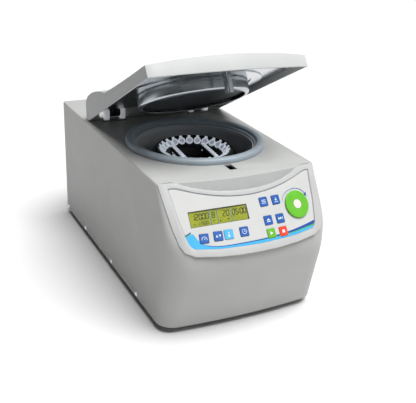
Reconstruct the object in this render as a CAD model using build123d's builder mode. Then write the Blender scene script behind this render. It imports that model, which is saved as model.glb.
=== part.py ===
from build123d import *
import math
import os

os.makedirs("parts", exist_ok=True)

# ---------------------------------------------------------------- driving dimensions (mm)
# +Z up, front = -Y, X = 0 is the symmetry plane, z = 0 is the bench, origin under the middle of the box
H = 236.3                 # height of the flat top
REAR_Y = 277.2            # rear edge of the housing
HALF_REAR = 140.0         # half width at the rear
HALF_FRONT = 134.0        # half width at the top front corners
CORNER_Y = -193.0         # top front corners
BOW = 16.0                # how far the front bows forward in the middle
SLOPE = math.radians(35.45)   # control panel, from the vertical
WALL = 3.0                # housing wall
BASE_Z = 12.0             # lower edge of the housing
ROT_X, ROT_Y = 0.0, -38.0     # chamber and rotor axis
GASKET_R = 117.0
GASKET_TOP = 245.8
BOWL_R = 98.0             # inside radius of the bowl
BOWL_FLOOR = 130.0
HINGE_Y, HINGE_Z = 131.0, 250.0   # lid hinge axis
LID_OPEN = 26.5           # degrees
LID_HALF = 133.3
LID_EDGE_Z = 239.0        # lower edge of the closed lid
LID_CROWN = 6.2           # rise of the lid top from its side edges to the middle
LID_BOW = 10.5            # how far the lid front bows forward
SLOT_Y = -168.0           # striker slot
KEY = 14.0                # key size
KEY_TRAVEL = 0.8
TUBES = 24
TUBE_RING = 55.0          # radius of the ring of tube caps
SEAT_Z = 219.5            # height of the tube seat at that radius
FAN_X, FAN_Z = 62.0, 122.0

SS, CS = math.sin(SLOPE), math.cos(SLOPE)     # slope: forward and down per mm of slope
SAG = BOW * CS                                 # bow of the panel, square to its slope
BOW_R = (HALF_FRONT**2 + SAG**2) / (2 * SAG)
FRONT_C = CORNER_Y - BOW                       # front edge of the top on the centre line


def bow_y(x, radius=BOW_R):
    """Front edge of the top, in plan."""
    return FRONT_C + (radius - math.sqrt(radius**2 - x**2)) / CS


def bow_slope(x):
    return x / math.sqrt(BOW_R**2 - x**2) / CS


PANEL = Plane(origin=(0, FRONT_C, H), x_dir=(1, 0, 0), z_dir=(0, -CS, SS))


def on_panel(x, s):
    """Sketch coordinates on the tangent plane for the panel point at x and s down the slope."""
    return (x, -(s - SS * (bow_y(x) - FRONT_C)))


def panel_plane(x, s, off=0.0):
    """Plane touching the bowed panel at (x, s), raised by off along its normal."""
    t = Vector(1, bow_slope(x), 0).normalized()
    up = Vector(0, SS, CS)
    n = t.cross(up).normalized()
    p = Vector(x, bow_y(x) - s * SS, H - s * CS) + n * off
    return Plane(origin=p, x_dir=t, z_dir=n)


def bow_slab(t0, t1, angle=SLOPE, reach=170.0, half=150.0):
    """Solid between two offsets of the bowed sloping front, measured along its normal."""
    rise = 34.0
    sn, cs = math.sin(angle), math.cos(angle)
    sag = BOW * cs
    rad = (HALF_FRONT**2 + sag**2) / (2 * sag)
    edge = math.sqrt(rad**2 - half**2) - rad
    with BuildPart() as slab:
        with BuildSketch(Plane(origin=(0, FRONT_C + rise * sn, H + rise * cs), x_dir=(1, 0, 0), z_dir=(0, -sn, -cs))):
            with BuildLine():
                ThreePointArc((-half, edge + t0), (0, t0), (half, edge + t0))
                Line((half, edge + t0), (half, edge + t1))
                ThreePointArc((half, edge + t1), (0, t1), (-half, edge + t1))
                Line((-half, edge + t1), (-half, edge + t0))
            make_face()
        extrude(amount=reach)
    return slab.part


def panel_prism(points, lo, hi, radius=0.0):
    """Prism along the panel normal over a closed outline of (x, s) points."""
    with BuildPart() as prism:
        with BuildSketch(PANEL.offset(lo)):
            with BuildLine():
                Polyline(*[on_panel(x, s) for x, s in points], close=True)
            make_face()
            if radius:
                fillet(vertices(), radius)
        extrude(amount=hi - lo)
    return prism.part


def casing_section(z, xr, xf, yf, bow, r_front, inset=0.0, rear=REAR_Y, r_rear=5.0, front_in=None):
    """Plan section of the casing: straight rear and sides, bowed front, rounded corners."""
    fi = inset if front_in is None else front_in
    slope_x = (xr - xf) / (rear - yf)
    xr2 = xr - inset
    xf2 = xf - inset - slope_x * (-fi) * 0
    yf2 = yf + fi
    with BuildSketch(Plane.XY.offset(z)) as sk:
        with BuildLine():
            Line((-xr2, rear), (xr2, rear))
            Line((xr2, rear), (xf2, yf2))
            ThreePointArc((xf2, yf2), (0, yf2 - bow), (-xf2, yf2))
            Line((-xf2, yf2), (-xr2, rear))
        make_face()
        vs = sk.vertices().sort_by(Axis.Y)
        fillet(vs[0:2], r_front)
        fillet(sk.vertices().sort_by(Axis.Y)[-2:], r_rear)
    return sk.sketch


# casing stations: height, rear half width, front half width, corner y, bow, corner radius
STATIONS = [
    (BASE_Z, 140.0, 137.2, -229.0, 8.6, 28.0),
    (70.0, 140.0, 137.2, -244.5, 11.0, 35.0),
    (126.0, 140.0, 136.6, -257.5, 14.0, 42.0),
    (150.0, 140.0, 136.2, -253.6, 15.6, 37.0),
    (179.0, 140.0, 135.4, -233.0, 15.8, 17.0),
    (209.0, 140.0, 134.6, -211.8, 15.9, 9.0),
    (H - 1.6, 140.0, 134.0, -193.6, 16.0, 3.5),
]


def smooth_station(z):
    """Casing section data at any height: a monotone cubic through the stations."""
    zs = [st[0] for st in STATIONS]
    k = max(i for i in range(len(zs) - 1) if zs[i] <= z + 1e-9)
    t = (z - zs[k]) / (zs[k + 1] - zs[k])
    out = [z]
    for col in range(1, 6):
        v = [st[col] for st in STATIONS]
        d = [(v[i + 1] - v[i]) / (zs[i + 1] - zs[i]) for i in range(len(zs) - 1)]
        m = [d[0]] + [0.0 if d[i - 1] * d[i] <= 0 else 2 * d[i - 1] * d[i] / (d[i - 1] + d[i]) for i in range(1, len(d))] + [d[-1]]
        h = zs[k + 1] - zs[k]
        out.append((2 * t**3 - 3 * t**2 + 1) * v[k] + (t**3 - 2 * t**2 + t) * h * m[k]
                   + (3 * t**2 - 2 * t**3) * v[k + 1] + (t**3 - t**2) * h * m[k + 1])
    return tuple(out)


LEVELS = [BASE_Z, 32.0, 52.0, 72.0, 90.0, 104.0, 115.0, 124.0, 131.0, 138.0, 145.0, 152.0, 162.0, 175.0, 190.0, 210.0, H - 1.6]

# ---------------------------------------------------------------- control panel outlines (x, s)
BEZEL = [(-132.4, 1.0), (-129.6, 30), (-125.0, 70), (-120.6, 93), (-115.0, 104), (-100.5, 110.6), (-67, 113.8),
         (-32, 115.2), (0, 115.4), (32, 115.2), (67, 113.8), (100.5, 110.6), (115.0, 104), (120.6, 93),
         (125.0, 70), (129.6, 30), (132.4, 1.0)]
OVERLAY_SIDE = [(-119.6, 9.5), (-117.4, 26), (-114.4, 56), (-109.8, 80), (-106.4, 93.5), (-99.6, 100.3),
                (-64, 103.2), (0, 104.2), (64, 103.2), (99.6, 100.3), (106.4, 93.5), (109.8, 80),
                (114.4, 56), (117.4, 26), (119.6, 9.5)]
OVERLAY_TOP = [(111, 8.8), (90, 14.6), (63, 21.6), (35, 26.4), (0, 28.6), (-35, 26.4), (-63, 21.6), (-90, 14.6),
               (-111, 8.8)]
CRESCENT = [(-104, 1.0), (-102, 3.2), (-85, 9.6), (-65, 14.7), (-45, 18.2), (-22, 20.4), (0, 21.0), (22, 20.4),
            (45, 18.2), (65, 14.0), (85, 7.6), (98, 1.0)]
LCD = [(-98.5, 45.2), (-6.2, 42.2), (-6.2, 65.6), (-98.5, 69.0)]
KEYS = {
    "key_speed": (-82.9, 85.5), "key_accel": (-61.3, 84.1), "key_temp": (-44.8, 83.5), "key_time": (-19.9, 82.7),
    "key_program": (23.0, 43.8), "key_save": (44.6, 44.1), "key_open": (23.6, 72.5), "key_short": (44.8, 73.2),
    "key_start": (23.7, 92.4), "key_stop": (45.0, 93.2),
}
DIAL = (80.6, 58.2)
DIAL_R = 21.5
BUTTON_R = 7.2


def overlay_outline(lo, hi, grow=0.0):
    """Prism over the overlay's outline, grown by a small margin."""
    with BuildPart() as prism:
        with BuildSketch(PANEL.offset(lo)):
            with BuildLine():
                big = lambda x, s: on_panel(x * (1 + grow / 115.0), 56.0 + (s - 56.0) * (1 + grow / 45.0))
                pts = [big(x, s) for x, s in OVERLAY_SIDE]
                Polyline(*pts)
                Spline(pts[-1], *[big(x, s) for x, s in OVERLAY_TOP], pts[0])
            make_face()
        extrude(amount=hi - lo)
    return prism.part


def key_cut(x, s, size, lo, hi, r=1.6):
    with BuildPart() as cut:
        with BuildSketch(panel_plane(x, s, lo)):
            RectangleRounded(size, size, r)
        extrude(amount=hi - lo)
    return cut.part


def disc_cut(x, s, radius, lo, hi):
    with BuildPart() as cut:
        with BuildSketch(panel_plane(x, s, lo)):
            Circle(radius)
        extrude(amount=hi - lo)
    return cut.part


lcd_plane = panel_plane(-52.3, 55.5)

# ---------------------------------------------------------------- housing
SCREW_Y = (262.0, 147.0, -2.0, -124.0)


def side_x(y):
    """Half width of the casing low on the side."""
    return 140.0 - 2.8 * (REAR_Y - y) / (REAR_Y + 229.0)


with BuildPart() as cavity:
    inner = []
    for level in LEVELS[:-1] + [H - WALL]:
        z, xr, xf, yf, bow, r = smooth_station(level)
        inner.append(casing_section(z, xr, xf, yf, bow, max(r - WALL, 1.5), inset=WALL, rear=REAR_Y + 6, r_rear=2.0,
                                    front_in=WALL + 4.5 * min(1.0, max(0.0, (level - 100.0) / 30.0))))
    loft(sections=inner, ruled=True)
    with BuildSketch(Plane.XY.offset(BASE_Z)) as low_open:
        add(casing_section(BASE_Z, 140.0, 137.2, -229.0, 8.6, 25.0, inset=WALL, rear=REAR_Y + 6, r_rear=2.0))
    extrude(amount=-6)

with BuildPart() as housing:
    loft(sections=[casing_section(*smooth_station(level)) for level in LEVELS], ruled=True)
    z, xr, xf, yf, bow, r = STATIONS[-1]
    loft(sections=[casing_section(z, xr, xf, yf, bow, r), casing_section(H, xr, xf, yf + 0.6, bow, r, inset=1.3, front_in=0.2,
         rear=REAR_Y)], ruled=True)
    add(cavity.part, mode=Mode.SUBTRACT)
    # pocket for the control bezel and the window behind it
    add(bow_slab(-3.0, 30) & panel_prism(BEZEL, -60, 40), mode=Mode.SUBTRACT)
    add(panel_prism([(-108, 30), (-55, 33), (0, 34), (55, 33), (108, 30), (107, 99), (90, 102.5), (55, 104), (0, 104.5),
                     (-55, 104), (-90, 102.5), (-107, 99)], -40, 10), mode=Mode.SUBTRACT)
    # chamber mouth
    with BuildSketch(Plane.XY.offset(H - 10)):
        with Locations((ROT_X, ROT_Y)):
            Circle(107.0)
    extrude(amount=20, mode=Mode.SUBTRACT)
    # striker slot
    with BuildSketch(Plane.XY.offset(H - 10)):
        with Locations((0, SLOT_Y)):
            RectangleRounded(12.5, 23.0, 1.5)
    extrude(amount=20, mode=Mode.SUBTRACT)
    # clearance holes for the side screws
    for y in SCREW_Y:
        with BuildSketch(Plane.YZ.offset(-160)):
            with Locations((y, 18.0)):
                Circle(1.8)
        extrude(amount=320, mode=Mode.SUBTRACT)
    # air intake slots low on the right side
    with BuildSketch(Plane.YZ.offset(120)):
        with Locations((190.0, 95.0)):
            with GridLocations(9.0, 1.0, 14, 1):
                SlotOverall(96.0, 3.4, rotation=90)
    extrude(amount=40, mode=Mode.SUBTRACT)
    # corner tabs that take the rear panel screws
    with BuildSketch(Plane.XZ.offset(-(REAR_Y - 7.0))):
        with Locations((-131.0, 218), (131.0, 218), (-131.0, 120), (131.0, 120)):
            Rectangle(12.6, 16)
        with Locations((0, 228.2)):
            Rectangle(16, 11)
    extrude(amount=10.0)
    with BuildSketch(Plane.XZ.offset(-(REAR_Y - 30))):
        with Locations((-130, 218), (130, 218), (-130, 120), (130, 120), (0, 226.5)):
            Circle(1.8)
    extrude(amount=-60, mode=Mode.SUBTRACT)
housing.part.label = "housing"
export_step(housing.part, "parts/housing.step")

# ---------------------------------------------------------------- base pan
with BuildPart() as base_pan:
    add(extrude(casing_section(BASE_Z - 2, 140.0, 137.2, -229.0, 8.6, 24.8, inset=WALL + 0.4, rear=REAR_Y - 7.8, r_rear=3.0),
                amount=18, mode=Mode.PRIVATE))
    add(extrude(casing_section(BASE_Z, 140.0, 137.2, -229.0, 8.6, 23.0, inset=WALL + 1.9, rear=REAR_Y - 9.4, r_rear=1.5),
                amount=40, mode=Mode.PRIVATE), mode=Mode.SUBTRACT)
    for y in SCREW_Y:
        with BuildSketch(Plane.YZ.offset(-160)):
            with Locations((y, 18.0)):
                Circle(1.8)
        extrude(amount=320, mode=Mode.SUBTRACT)
    with BuildSketch(Plane.XY.offset(BASE_Z - 6)):
        with Locations((66, 150)):
            with GridLocations(1, 9.0, 1, 7):
                SlotOverall(70.0, 4.6)
        with Locations((0, -150)):
            with GridLocations(1, 9.0, 1, 4):
                SlotOverall(90.0, 4.6)
    extrude(amount=20, mode=Mode.SUBTRACT)
    with BuildSketch(Plane.XZ.offset(-(REAR_Y - 30))):
        with Locations((-110, 21), (110, 21), (0, 21)):
            Circle(1.8)
    extrude(amount=-60, mode=Mode.SUBTRACT)
base_pan.part.label = "base_pan"
export_step(base_pan.part, "parts/base_pan.step")

with BuildPart() as rubber_feet:
    for fx, fy in ((-104, -176), (104, -176), (-112, 236), (112, 236)):
        with BuildSketch(Plane.XY) as foot_low:
            with Locations((fx, fy)):
                Circle(10.5)
        with BuildSketch(Plane.XY.offset(BASE_Z - 2)) as foot_high:
            with Locations((fx, fy)):
                Circle(13.0)
        loft()
rubber_feet.part.label = "rubber_feet"
export_step(rubber_feet.part, "parts/rubber_feet.step")

with BuildPart() as side_screws:
    for side in (-1, 1):
        for y in SCREW_Y:
            xo = side_x(y) + 0.15
            with BuildSketch(Plane(origin=(side * xo, y, 18.0), x_dir=(0, 1, 0), z_dir=(side, 0, 0))):
                Circle(3.7)
            extrude(amount=1.5, taper=28)
            with BuildSketch(Plane(origin=(side * xo, y, 18.0), x_dir=(0, 1, 0), z_dir=(side, 0, 0))):
                Circle(1.6)
            extrude(amount=-9.0)
side_screws.part.label = "side_screws"
export_step(side_screws.part, "parts/side_screws.step")

# ---------------------------------------------------------------- rear panel, inlet, switch, fan
RP_Y = REAR_Y - 5.0       # outside face of the rear panel
INLET_X, INLET_Z = -92.0, 56.0
ROCK_X = -58.0
with BuildPart() as rear_panel:
    with BuildSketch(Plane.XZ.offset(-RP_Y)):
        with Locations((0, (BASE_Z + 0.6 + H - WALL - 0.5) / 2)):
            RectangleRounded(2 * (140.0 - WALL - 0.6), H - WALL - 0.5 - BASE_Z - 0.6, 2.5)
    extrude(amount=2.0)
    with BuildSketch(Plane.XZ.offset(-(RP_Y + 5))):
        with Locations((FAN_X, FAN_Z)):
            for r_in in (49.0, 40.0, 31.0, 22.0, 13.0):
                Circle(r_in + 6.0)
                Circle(r_in, mode=Mode.SUBTRACT)
            Rectangle(5, 130, rotation=45, mode=Mode.SUBTRACT)
            Rectangle(5, 130, rotation=-45, mode=Mode.SUBTRACT)
        with Locations(((INLET_X + ROCK_X) / 2 - 1.0, INLET_Z)):
            Rectangle(66.0, 27.0)
        with Locations((-130, 218), (130, 218), (-130, 120), (130, 120), (0, 226.5), (-110, 21), (110, 21), (0, 21)):
            Circle(1.8)
        with Locations((FAN_X - 52.5, FAN_Z - 52.5), (FAN_X + 52.5, FAN_Z - 52.5), (FAN_X - 52.5, FAN_Z + 52.5),
                       (FAN_X + 52.5, FAN_Z + 52.5)):
            Circle(2.2)
    extrude(amount=12, mode=Mode.SUBTRACT)
    # upper louvres
    with BuildSketch(Plane.XZ.offset(-(RP_Y + 5))):
        with Locations((-78, 150)):
            with GridLocations(1, 10.0, 1, 9):
                SlotOverall(72.0, 4.2)
    extrude(amount=12, mode=Mode.SUBTRACT)
rear_panel.part.label = "rear_panel"
export_step(rear_panel.part, "parts/rear_panel.step")

with BuildPart() as rear_screws:
    for px, pz in ((-130, 218), (130, 218), (-130, 120), (130, 120), (0, 226.5), (-110, 21), (110, 21), (0, 21)):
        with BuildSketch(Plane(origin=(px, RP_Y + 0.1, pz), x_dir=(-1, 0, 0), z_dir=(0, 1, 0))):
            Circle(3.4)
        extrude(amount=1.7, taper=25)
        with BuildSketch(Plane(origin=(px, RP_Y + 0.1, pz), x_dir=(-1, 0, 0), z_dir=(0, 1, 0))):
            Circle(1.6)
        extrude(amount=-9.0)
rear_screws.part.label = "rear_screws"
export_step(rear_screws.part, "parts/rear_screws.step")

with BuildPart() as power_inlet:
    cx = (INLET_X + ROCK_X) / 2 - 1.0
    with BuildSketch(Plane.XZ.offset(-(RP_Y + 0.1))):
        with Locations((cx, INLET_Z)):
            RectangleRounded(78.0, 35.0, 4)
    extrude(amount=-2.4)
    with BuildSketch(Plane.XZ.offset(-(RP_Y + 0.1))):
        with Locations((cx, INLET_Z)):
            Rectangle(65.0, 26.0)
    extrude(amount=27.0)
    # appliance inlet socket
    with BuildSketch(Plane.XZ.offset(-(RP_Y + 6))):
        with BuildLine():
            Polyline(*[(INLET_X + px, INLET_Z + pz) for px, pz in ((-12.2, -8.4), (12.2, -8.4), (12.2, 4.0), (7.8, 8.4),
                                                                  (-7.8, 8.4), (-12.2, 4.0))], close=True)
        make_face()
    extrude(amount=25.5, mode=Mode.SUBTRACT)
    # switch well
    with BuildSketch(Plane.XZ.offset(-(RP_Y + 6))):
        with Locations((ROCK_X, INLET_Z)):
            Rectangle(13.0, 23.4)
    extrude(amount=26.0, mode=Mode.SUBTRACT)
    # pivot pips for the rocker
    with BuildSketch(Plane.YZ.offset(ROCK_X - 7.5)):
        with Locations((RP_Y - 7.0, INLET_Z)):
            Circle(1.4)
    extrude(amount=2.2)
    with BuildSketch(Plane.YZ.offset(ROCK_X + 7.5)):
        with Locations((RP_Y - 7.0, INLET_Z)):
            Circle(1.4)
    extrude(amount=-2.2)
power_inlet.part.label = "power_inlet"
export_step(power_inlet.part, "parts/power_inlet.step")

with BuildPart() as inlet_pins:
    for px, pz in ((-7.0, -1.5), (0.0, 2.5), (7.0, -1.5)):
        with BuildSketch(Plane.XZ.offset(-(RP_Y - 19.4))):
            with Locations((INLET_X + px, INLET_Z + pz)):
                RectangleRounded(2.0, 4.0, 0.6)
        extrude(amount=-11.5)
inlet_pins.part.label = "inlet_pins"
export_step(inlet_pins.part, "parts/inlet_pins.step")

with BuildPart() as power_rocker:
    # a shallow V front, tipped 8 degrees at rest
    tip = math.radians(8.0)
    rk = Plane(origin=(ROCK_X - 5.8, RP_Y - 7.0, INLET_Z), x_dir=(0, math.cos(tip), math.sin(tip)), z_dir=(1, 0, 0))
    with BuildSketch(rk):
        with BuildLine():
            Polyline((8.2, -9.4), (6.9, 0), (8.2, 9.4), (3.5, 9.4), (-3.0, 4.5), (-6.5, 2.0), (-6.5, -2.0), (-3.0, -4.5),
                     (3.5, -9.4), close=True)
        make_face()
        Circle(1.46, mode=Mode.SUBTRACT)
    extrude(amount=11.6)
power_rocker.part.label = "power_rocker"
export_step(power_rocker.part, "parts/power_rocker.step")

FAN_Y = RP_Y - 2.2        # rear face of the fan frame
with BuildPart() as fan_shroud:
    with BuildSketch(Plane.XZ.offset(-FAN_Y)):
        with Locations((FAN_X, FAN_Z)):
            RectangleRounded(119.0, 119.0, 6)
            Circle(57.5, mode=Mode.SUBTRACT)
            with GridLocations(105, 105, 2, 2):
                Circle(2.2, mode=Mode.SUBTRACT)
    extrude(amount=25.0)
    with BuildSketch(Plane.XZ.offset(-(FAN_Y - 22.0))):
        with Locations((FAN_X, FAN_Z)):
            Circle(20.0)
            Rectangle(119, 6, rotation=45)
            Rectangle(119, 6, rotation=-45)
    extrude(amount=3.0)
    with BuildSketch(Plane.XZ.offset(-(FAN_Y - 8.0))):
        with Locations((FAN_X, FAN_Z)):
            Circle(3.0)
    extrude(amount=14.2)
fan_shroud.part.label = "fan_shroud"
export_step(fan_shroud.part, "parts/fan_shroud.step")

with BuildPart() as fan_rotor:
    with BuildSketch(Plane.XZ.offset(-(FAN_Y - 4.0))):
        with Locations((FAN_X, FAN_Z)):
            Circle(19.5)
    extrude(amount=17.0)
    with BuildSketch(Plane.XZ.offset(-(FAN_Y - 6.0))):
        with Locations((FAN_X, FAN_Z)):
            Circle(3.05)
    extrude(amount=17.0, mode=Mode.SUBTRACT)
    for k in range(7):
        a = math.radians(k * 360 / 7)
        ux, uz = math.cos(a), math.sin(a)
        # blade plane: radial axis along (ux, 0, uz), pitched 32 degrees
        pitch = math.radians(32)
        tx, tz = -uz, ux
        nd = Vector(tx * math.sin(pitch), math.cos(pitch), tz * math.sin(pitch))
        with BuildSketch(Plane(origin=(FAN_X + 36.5 * ux, FAN_Y - 12.0, FAN_Z + 36.5 * uz), x_dir=(ux, 0, uz), z_dir=nd)):
            RectangleRounded(36.5, 22.0, 4.0)
        extrude(amount=0.9, both=True)
fan_rotor.part.label = "fan_rotor"
export_step(fan_rotor.part, "parts/fan_rotor.step")

# ---------------------------------------------------------------- control bezel, overlay, display, keys, dial
scoop_face = math.radians(26.0)
with BuildPart() as scoop:
    add(bow_slab(1.5, 40, angle=scoop_face))
    add(panel_prism(CRESCENT, -40, 40), mode=Mode.INTERSECT)

with BuildPart() as overlay_recess:
    add(bow_slab(0.0, 8))
    add(overlay_outline(-30, 20, grow=0.3), mode=Mode.INTERSECT)

# windows through the bezel for the keys, the dial and the display
with BuildPart() as windows:
    for x, s in KEYS.values():
        add(key_cut(x, s, KEY + 0.7, -5.5, 4.5))
    add(disc_cut(*DIAL, 9.65, -5.5, 4.5))
    add(panel_prism([(-99.7, 44.0), (-5.0, 41.0), (-5.0, 66.8), (-99.7, 70.2)], -16, 10))

with BuildPart() as control_bezel:
    add(bow_slab(-3.0, 1.6))
    add(windows.part, mode=Mode.SUBTRACT)
    add(panel_prism(BEZEL, -30, 20), mode=Mode.INTERSECT)
    with BuildSketch(Plane.XY.offset(H - 0.6)):
        Rectangle(400, 800)
    extrude(amount=40, mode=Mode.SUBTRACT)
    add(overlay_recess.part, mode=Mode.SUBTRACT)
    add(scoop.part, mode=Mode.SUBTRACT)
control_bezel.part.label = "control_bezel"
export_step(control_bezel.part, "parts/control_bezel.step")

with BuildPart() as membrane_overlay:
    add(bow_slab(0.02, 0.5))
    for x, s in KEYS.values():
        add(key_cut(x, s, KEY + 0.7, -6, 6), mode=Mode.SUBTRACT)
    add(panel_prism(LCD, -40, 12), mode=Mode.SUBTRACT)
    add(disc_cut(*DIAL, 9.9, -6, 6), mode=Mode.SUBTRACT)
    add(overlay_outline(-30, 20), mode=Mode.INTERSECT)
membrane_overlay.part.label = "membrane_overlay"
export_step(membrane_overlay.part, "parts/membrane_overlay.step")

LCD_IN = [(-98.2, 45.5), (-6.5, 42.5), (-6.5, 65.3), (-98.2, 68.7)]
with BuildPart() as lcd_window:
    add(bow_slab(-0.7, 0.2))
    add(panel_prism(LCD_IN, -40, 12), mode=Mode.INTERSECT)
lcd_window.part.label = "lcd_window"
export_step(lcd_window.part, "parts/lcd_window.step")

with BuildPart() as lcd_module:
    with BuildSketch(lcd_plane.offset(-2.7)):
        with BuildLine():
            Polyline((-45.8, 10.4), (45.8, 13.2), (45.8, -9.4), (-45.8, -12.6), close=True)
        make_face()
    extrude(amount=-4.0)
    with BuildSketch(lcd_plane.offset(-6.0)):
        Rectangle(96.0, 34.0)
    extrude(amount=-5.0)
lcd_module.part.label = "lcd_module"
export_step(lcd_module.part, "parts/lcd_module.step")

PCB_OFF = -19.0
with BuildPart() as control_pcb:
    with BuildSketch(PANEL.offset(PCB_OFF)):
        with Locations((0, -62.0)):
            RectangleRounded(206.0, 70.0, 3)
            with GridLocations(198, 62, 2, 2):
                Circle(1.7, mode=Mode.SUBTRACT)
    extrude(amount=-1.6)
    with BuildSketch(PANEL.offset(PCB_OFF - 1.6)):
        with Locations((-60, -60), (30, -52)):
            Rectangle(22, 16)
        with Locations((-5, -86)):
            Rectangle(60, 8)
    extrude(amount=-5.0)
    # encoder of the dial, soldered to the board
    ex, ey = on_panel(*DIAL)
    with BuildSketch(PANEL.offset(PCB_OFF - 0.5)):
        with Locations((ex, ey + 1.5)):
            Circle(6.0)
    extrude(amount=0.5 - PCB_OFF - (bow_y(DIAL[0]) - FRONT_C) * CS - 13.2)
    with BuildSketch(PANEL.offset(PCB_OFF - 0.5)):
        with Locations((ex, ey + 1.5)):
            Rectangle(17, 17)
    extrude(amount=1.9)
control_pcb.part.label = "control_pcb"
export_step(control_pcb.part, "parts/control_pcb.step")

with BuildPart() as key_switches:
    for x, s in KEYS.values():
        sx, sy = on_panel(x, s)
        drop = (bow_y(x) - FRONT_C) * CS
        with BuildSketch(PANEL.offset(PCB_OFF)):
            with Locations((sx, sy - (drop + 5) * 0.0)):
                Rectangle(6.2, 6.2)
        extrude(amount=3.4)
        with BuildSketch(PANEL.offset(PCB_OFF)):
            with Locations((sx, sy)):
                Circle(1.7)
        extrude(amount=-PCB_OFF - drop - 5.6)
key_switches.part.label = "key_switches"
export_step(key_switches.part, "parts/key_switches.step")

for name, (x, s) in KEYS.items():
    with BuildPart() as key:
        with BuildSketch(panel_plane(x, s, -3.4)):
            RectangleRounded(KEY, KEY, 1.4)
        extrude(amount=5.0)
        fillet(key.faces().sort_by(Axis((0, 0, 0), tuple(panel_plane(x, s).z_dir)))[-1].edges(), 0.5)
        with BuildSketch(panel_plane(x, s, -3.35)):
            RectangleRounded(KEY + 2.2, KEY + 2.2, 1.6)
        extrude(amount=-0.9)
    key.part.label = name
    export_step(key.part, "parts/" + name + ".step")

with BuildPart() as dial:
    with BuildSketch(panel_plane(*DIAL, 0.95)):
        Circle(DIAL_R)
    extrude(amount=2.5)
    fillet(dial.faces().sort_by(Axis((0, 0, 0), tuple(panel_plane(*DIAL).z_dir)))[-1].edges(), 1.0)
    # recess of the button
    with BuildSketch(panel_plane(*DIAL, 1.55)):
        Circle(BUTTON_R + 0.35)
    extrude(amount=4.0, mode=Mode.SUBTRACT)
    with BuildSketch(panel_plane(*DIAL, 0.95)):
        Circle(9.6)
        Circle(BUTTON_R + 0.35, mode=Mode.SUBTRACT)
    extrude(amount=-12.0)
    with BuildSketch(panel_plane(*DIAL, -3.6)):
        Circle(11.2)
        Circle(9.0, mode=Mode.SUBTRACT)
    extrude(amount=-1.2)
dial.part.label = "dial"
export_step(dial.part, "parts/dial.step")

with BuildPart() as dial_button:
    with BuildSketch(panel_plane(*DIAL, 2.6)):
        Circle(BUTTON_R)
    extrude(amount=1.1)
    fillet(dial_button.faces().sort_by(Axis((0, 0, 0), tuple(panel_plane(*DIAL).z_dir)))[-1].edges(), 0.4)
dial_button.part.label = "dial_button"
export_step(dial_button.part, "parts/dial_button.step")

# ---------------------------------------------------------------- chamber
with BuildPart() as chamber_gasket:
    with BuildSketch(Plane.XZ):
        with BuildLine():
            Line((100.0, H + 0.1), (GASKET_R, H + 0.1))
            Line((GASKET_R, H + 0.1), (GASKET_R, H + 3.6))
            ThreePointArc((GASKET_R, H + 3.6), (GASKET_R - 2.0, H + 8.0), (GASKET_R - 6.5, GASKET_TOP))
            Line((GASKET_R - 6.5, GASKET_TOP), (GASKET_R - 9.0, GASKET_TOP))
            ThreePointArc((GASKET_R - 9.0, GASKET_TOP), (GASKET_R - 12.0, GASKET_TOP - 1.6), (GASKET_R - 13.4, GASKET_TOP - 4.9))
            Line((GASKET_R - 13.4, GASKET_TOP - 4.9), (100.0, H + 2.2))
            Line((100.0, H + 2.2), (100.0, H + 0.1))
        make_face()
    revolve(axis=Axis.Z)
chamber_gasket.part.label = "chamber_gasket"
chamber_gasket.part.locate(Location((ROT_X, ROT_Y, 0)))
export_step(chamber_gasket.part, "parts/chamber_gasket.step")

AXIS = Axis((ROT_X, ROT_Y, 0), (0, 0, 1))
RZ = Plane(origin=(ROT_X, ROT_Y, 0), x_dir=(1, 0, 0), z_dir=(0, -1, 0))

with BuildPart() as chamber_bowl:
    with BuildSketch(RZ):
        with BuildLine():
            Polyline((12.0, BOWL_FLOOR - 1.4), (88.0, BOWL_FLOOR - 1.4), (96.0, BOWL_FLOOR + 3.5), (BOWL_R + 1.4, BOWL_FLOOR + 12.0),
                     (BOWL_R + 1.4, H - 2.0), (106.4, H - 2.0), (106.4, H - 0.4), (BOWL_R, H - 0.4), (BOWL_R, BOWL_FLOOR + 12.4),
                     (95.0, BOWL_FLOOR + 4.8), (87.4, BOWL_FLOOR), (22.0, BOWL_FLOOR), (19.0, BOWL_FLOOR + 7.0),
                     (12.0, BOWL_FLOOR + 7.0), close=True)
        make_face()
    revolve(axis=AXIS)
chamber_bowl.part.label = "chamber_bowl"
export_step(chamber_bowl.part, "parts/chamber_bowl.step")

with BuildPart() as shaft_seal:
    with BuildSketch(RZ):
        with BuildLine():
            Polyline((7.0, BOWL_FLOOR + 3.0), (11.9, BOWL_FLOOR + 1.0), (11.9, BOWL_FLOOR + 7.1), (15.0, BOWL_FLOOR + 7.1), (15.0, BOWL_FLOOR + 8.6),
                     (11.0, BOWL_FLOOR + 8.6), (7.0, BOWL_FLOOR + 6.0), close=True)
        make_face()
    revolve(axis=AXIS)
shaft_seal.part.label = "shaft_seal"
export_step(shaft_seal.part, "parts/shaft_seal.step")

with BuildPart() as evaporator_coil:
    for k in range(8):
        with BuildSketch(RZ):
            with Locations((BOWL_R + 1.4 + 2.45, BOWL_FLOOR + 18.0 + 9.0 * k)):
                Circle(2.3)
        revolve(axis=AXIS)
    with BuildSketch(Plane.XY.offset(BOWL_FLOOR + 14.0)):
        with Locations((ROT_X, ROT_Y + BOWL_R + 1.4 + 2.75)):
            Rectangle(7.0, 4.9)
    extrude(amount=71.0)
evaporator_coil.part.label = "evaporator_coil"
export_step(evaporator_coil.part, "parts/evaporator_coil.step")

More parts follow.
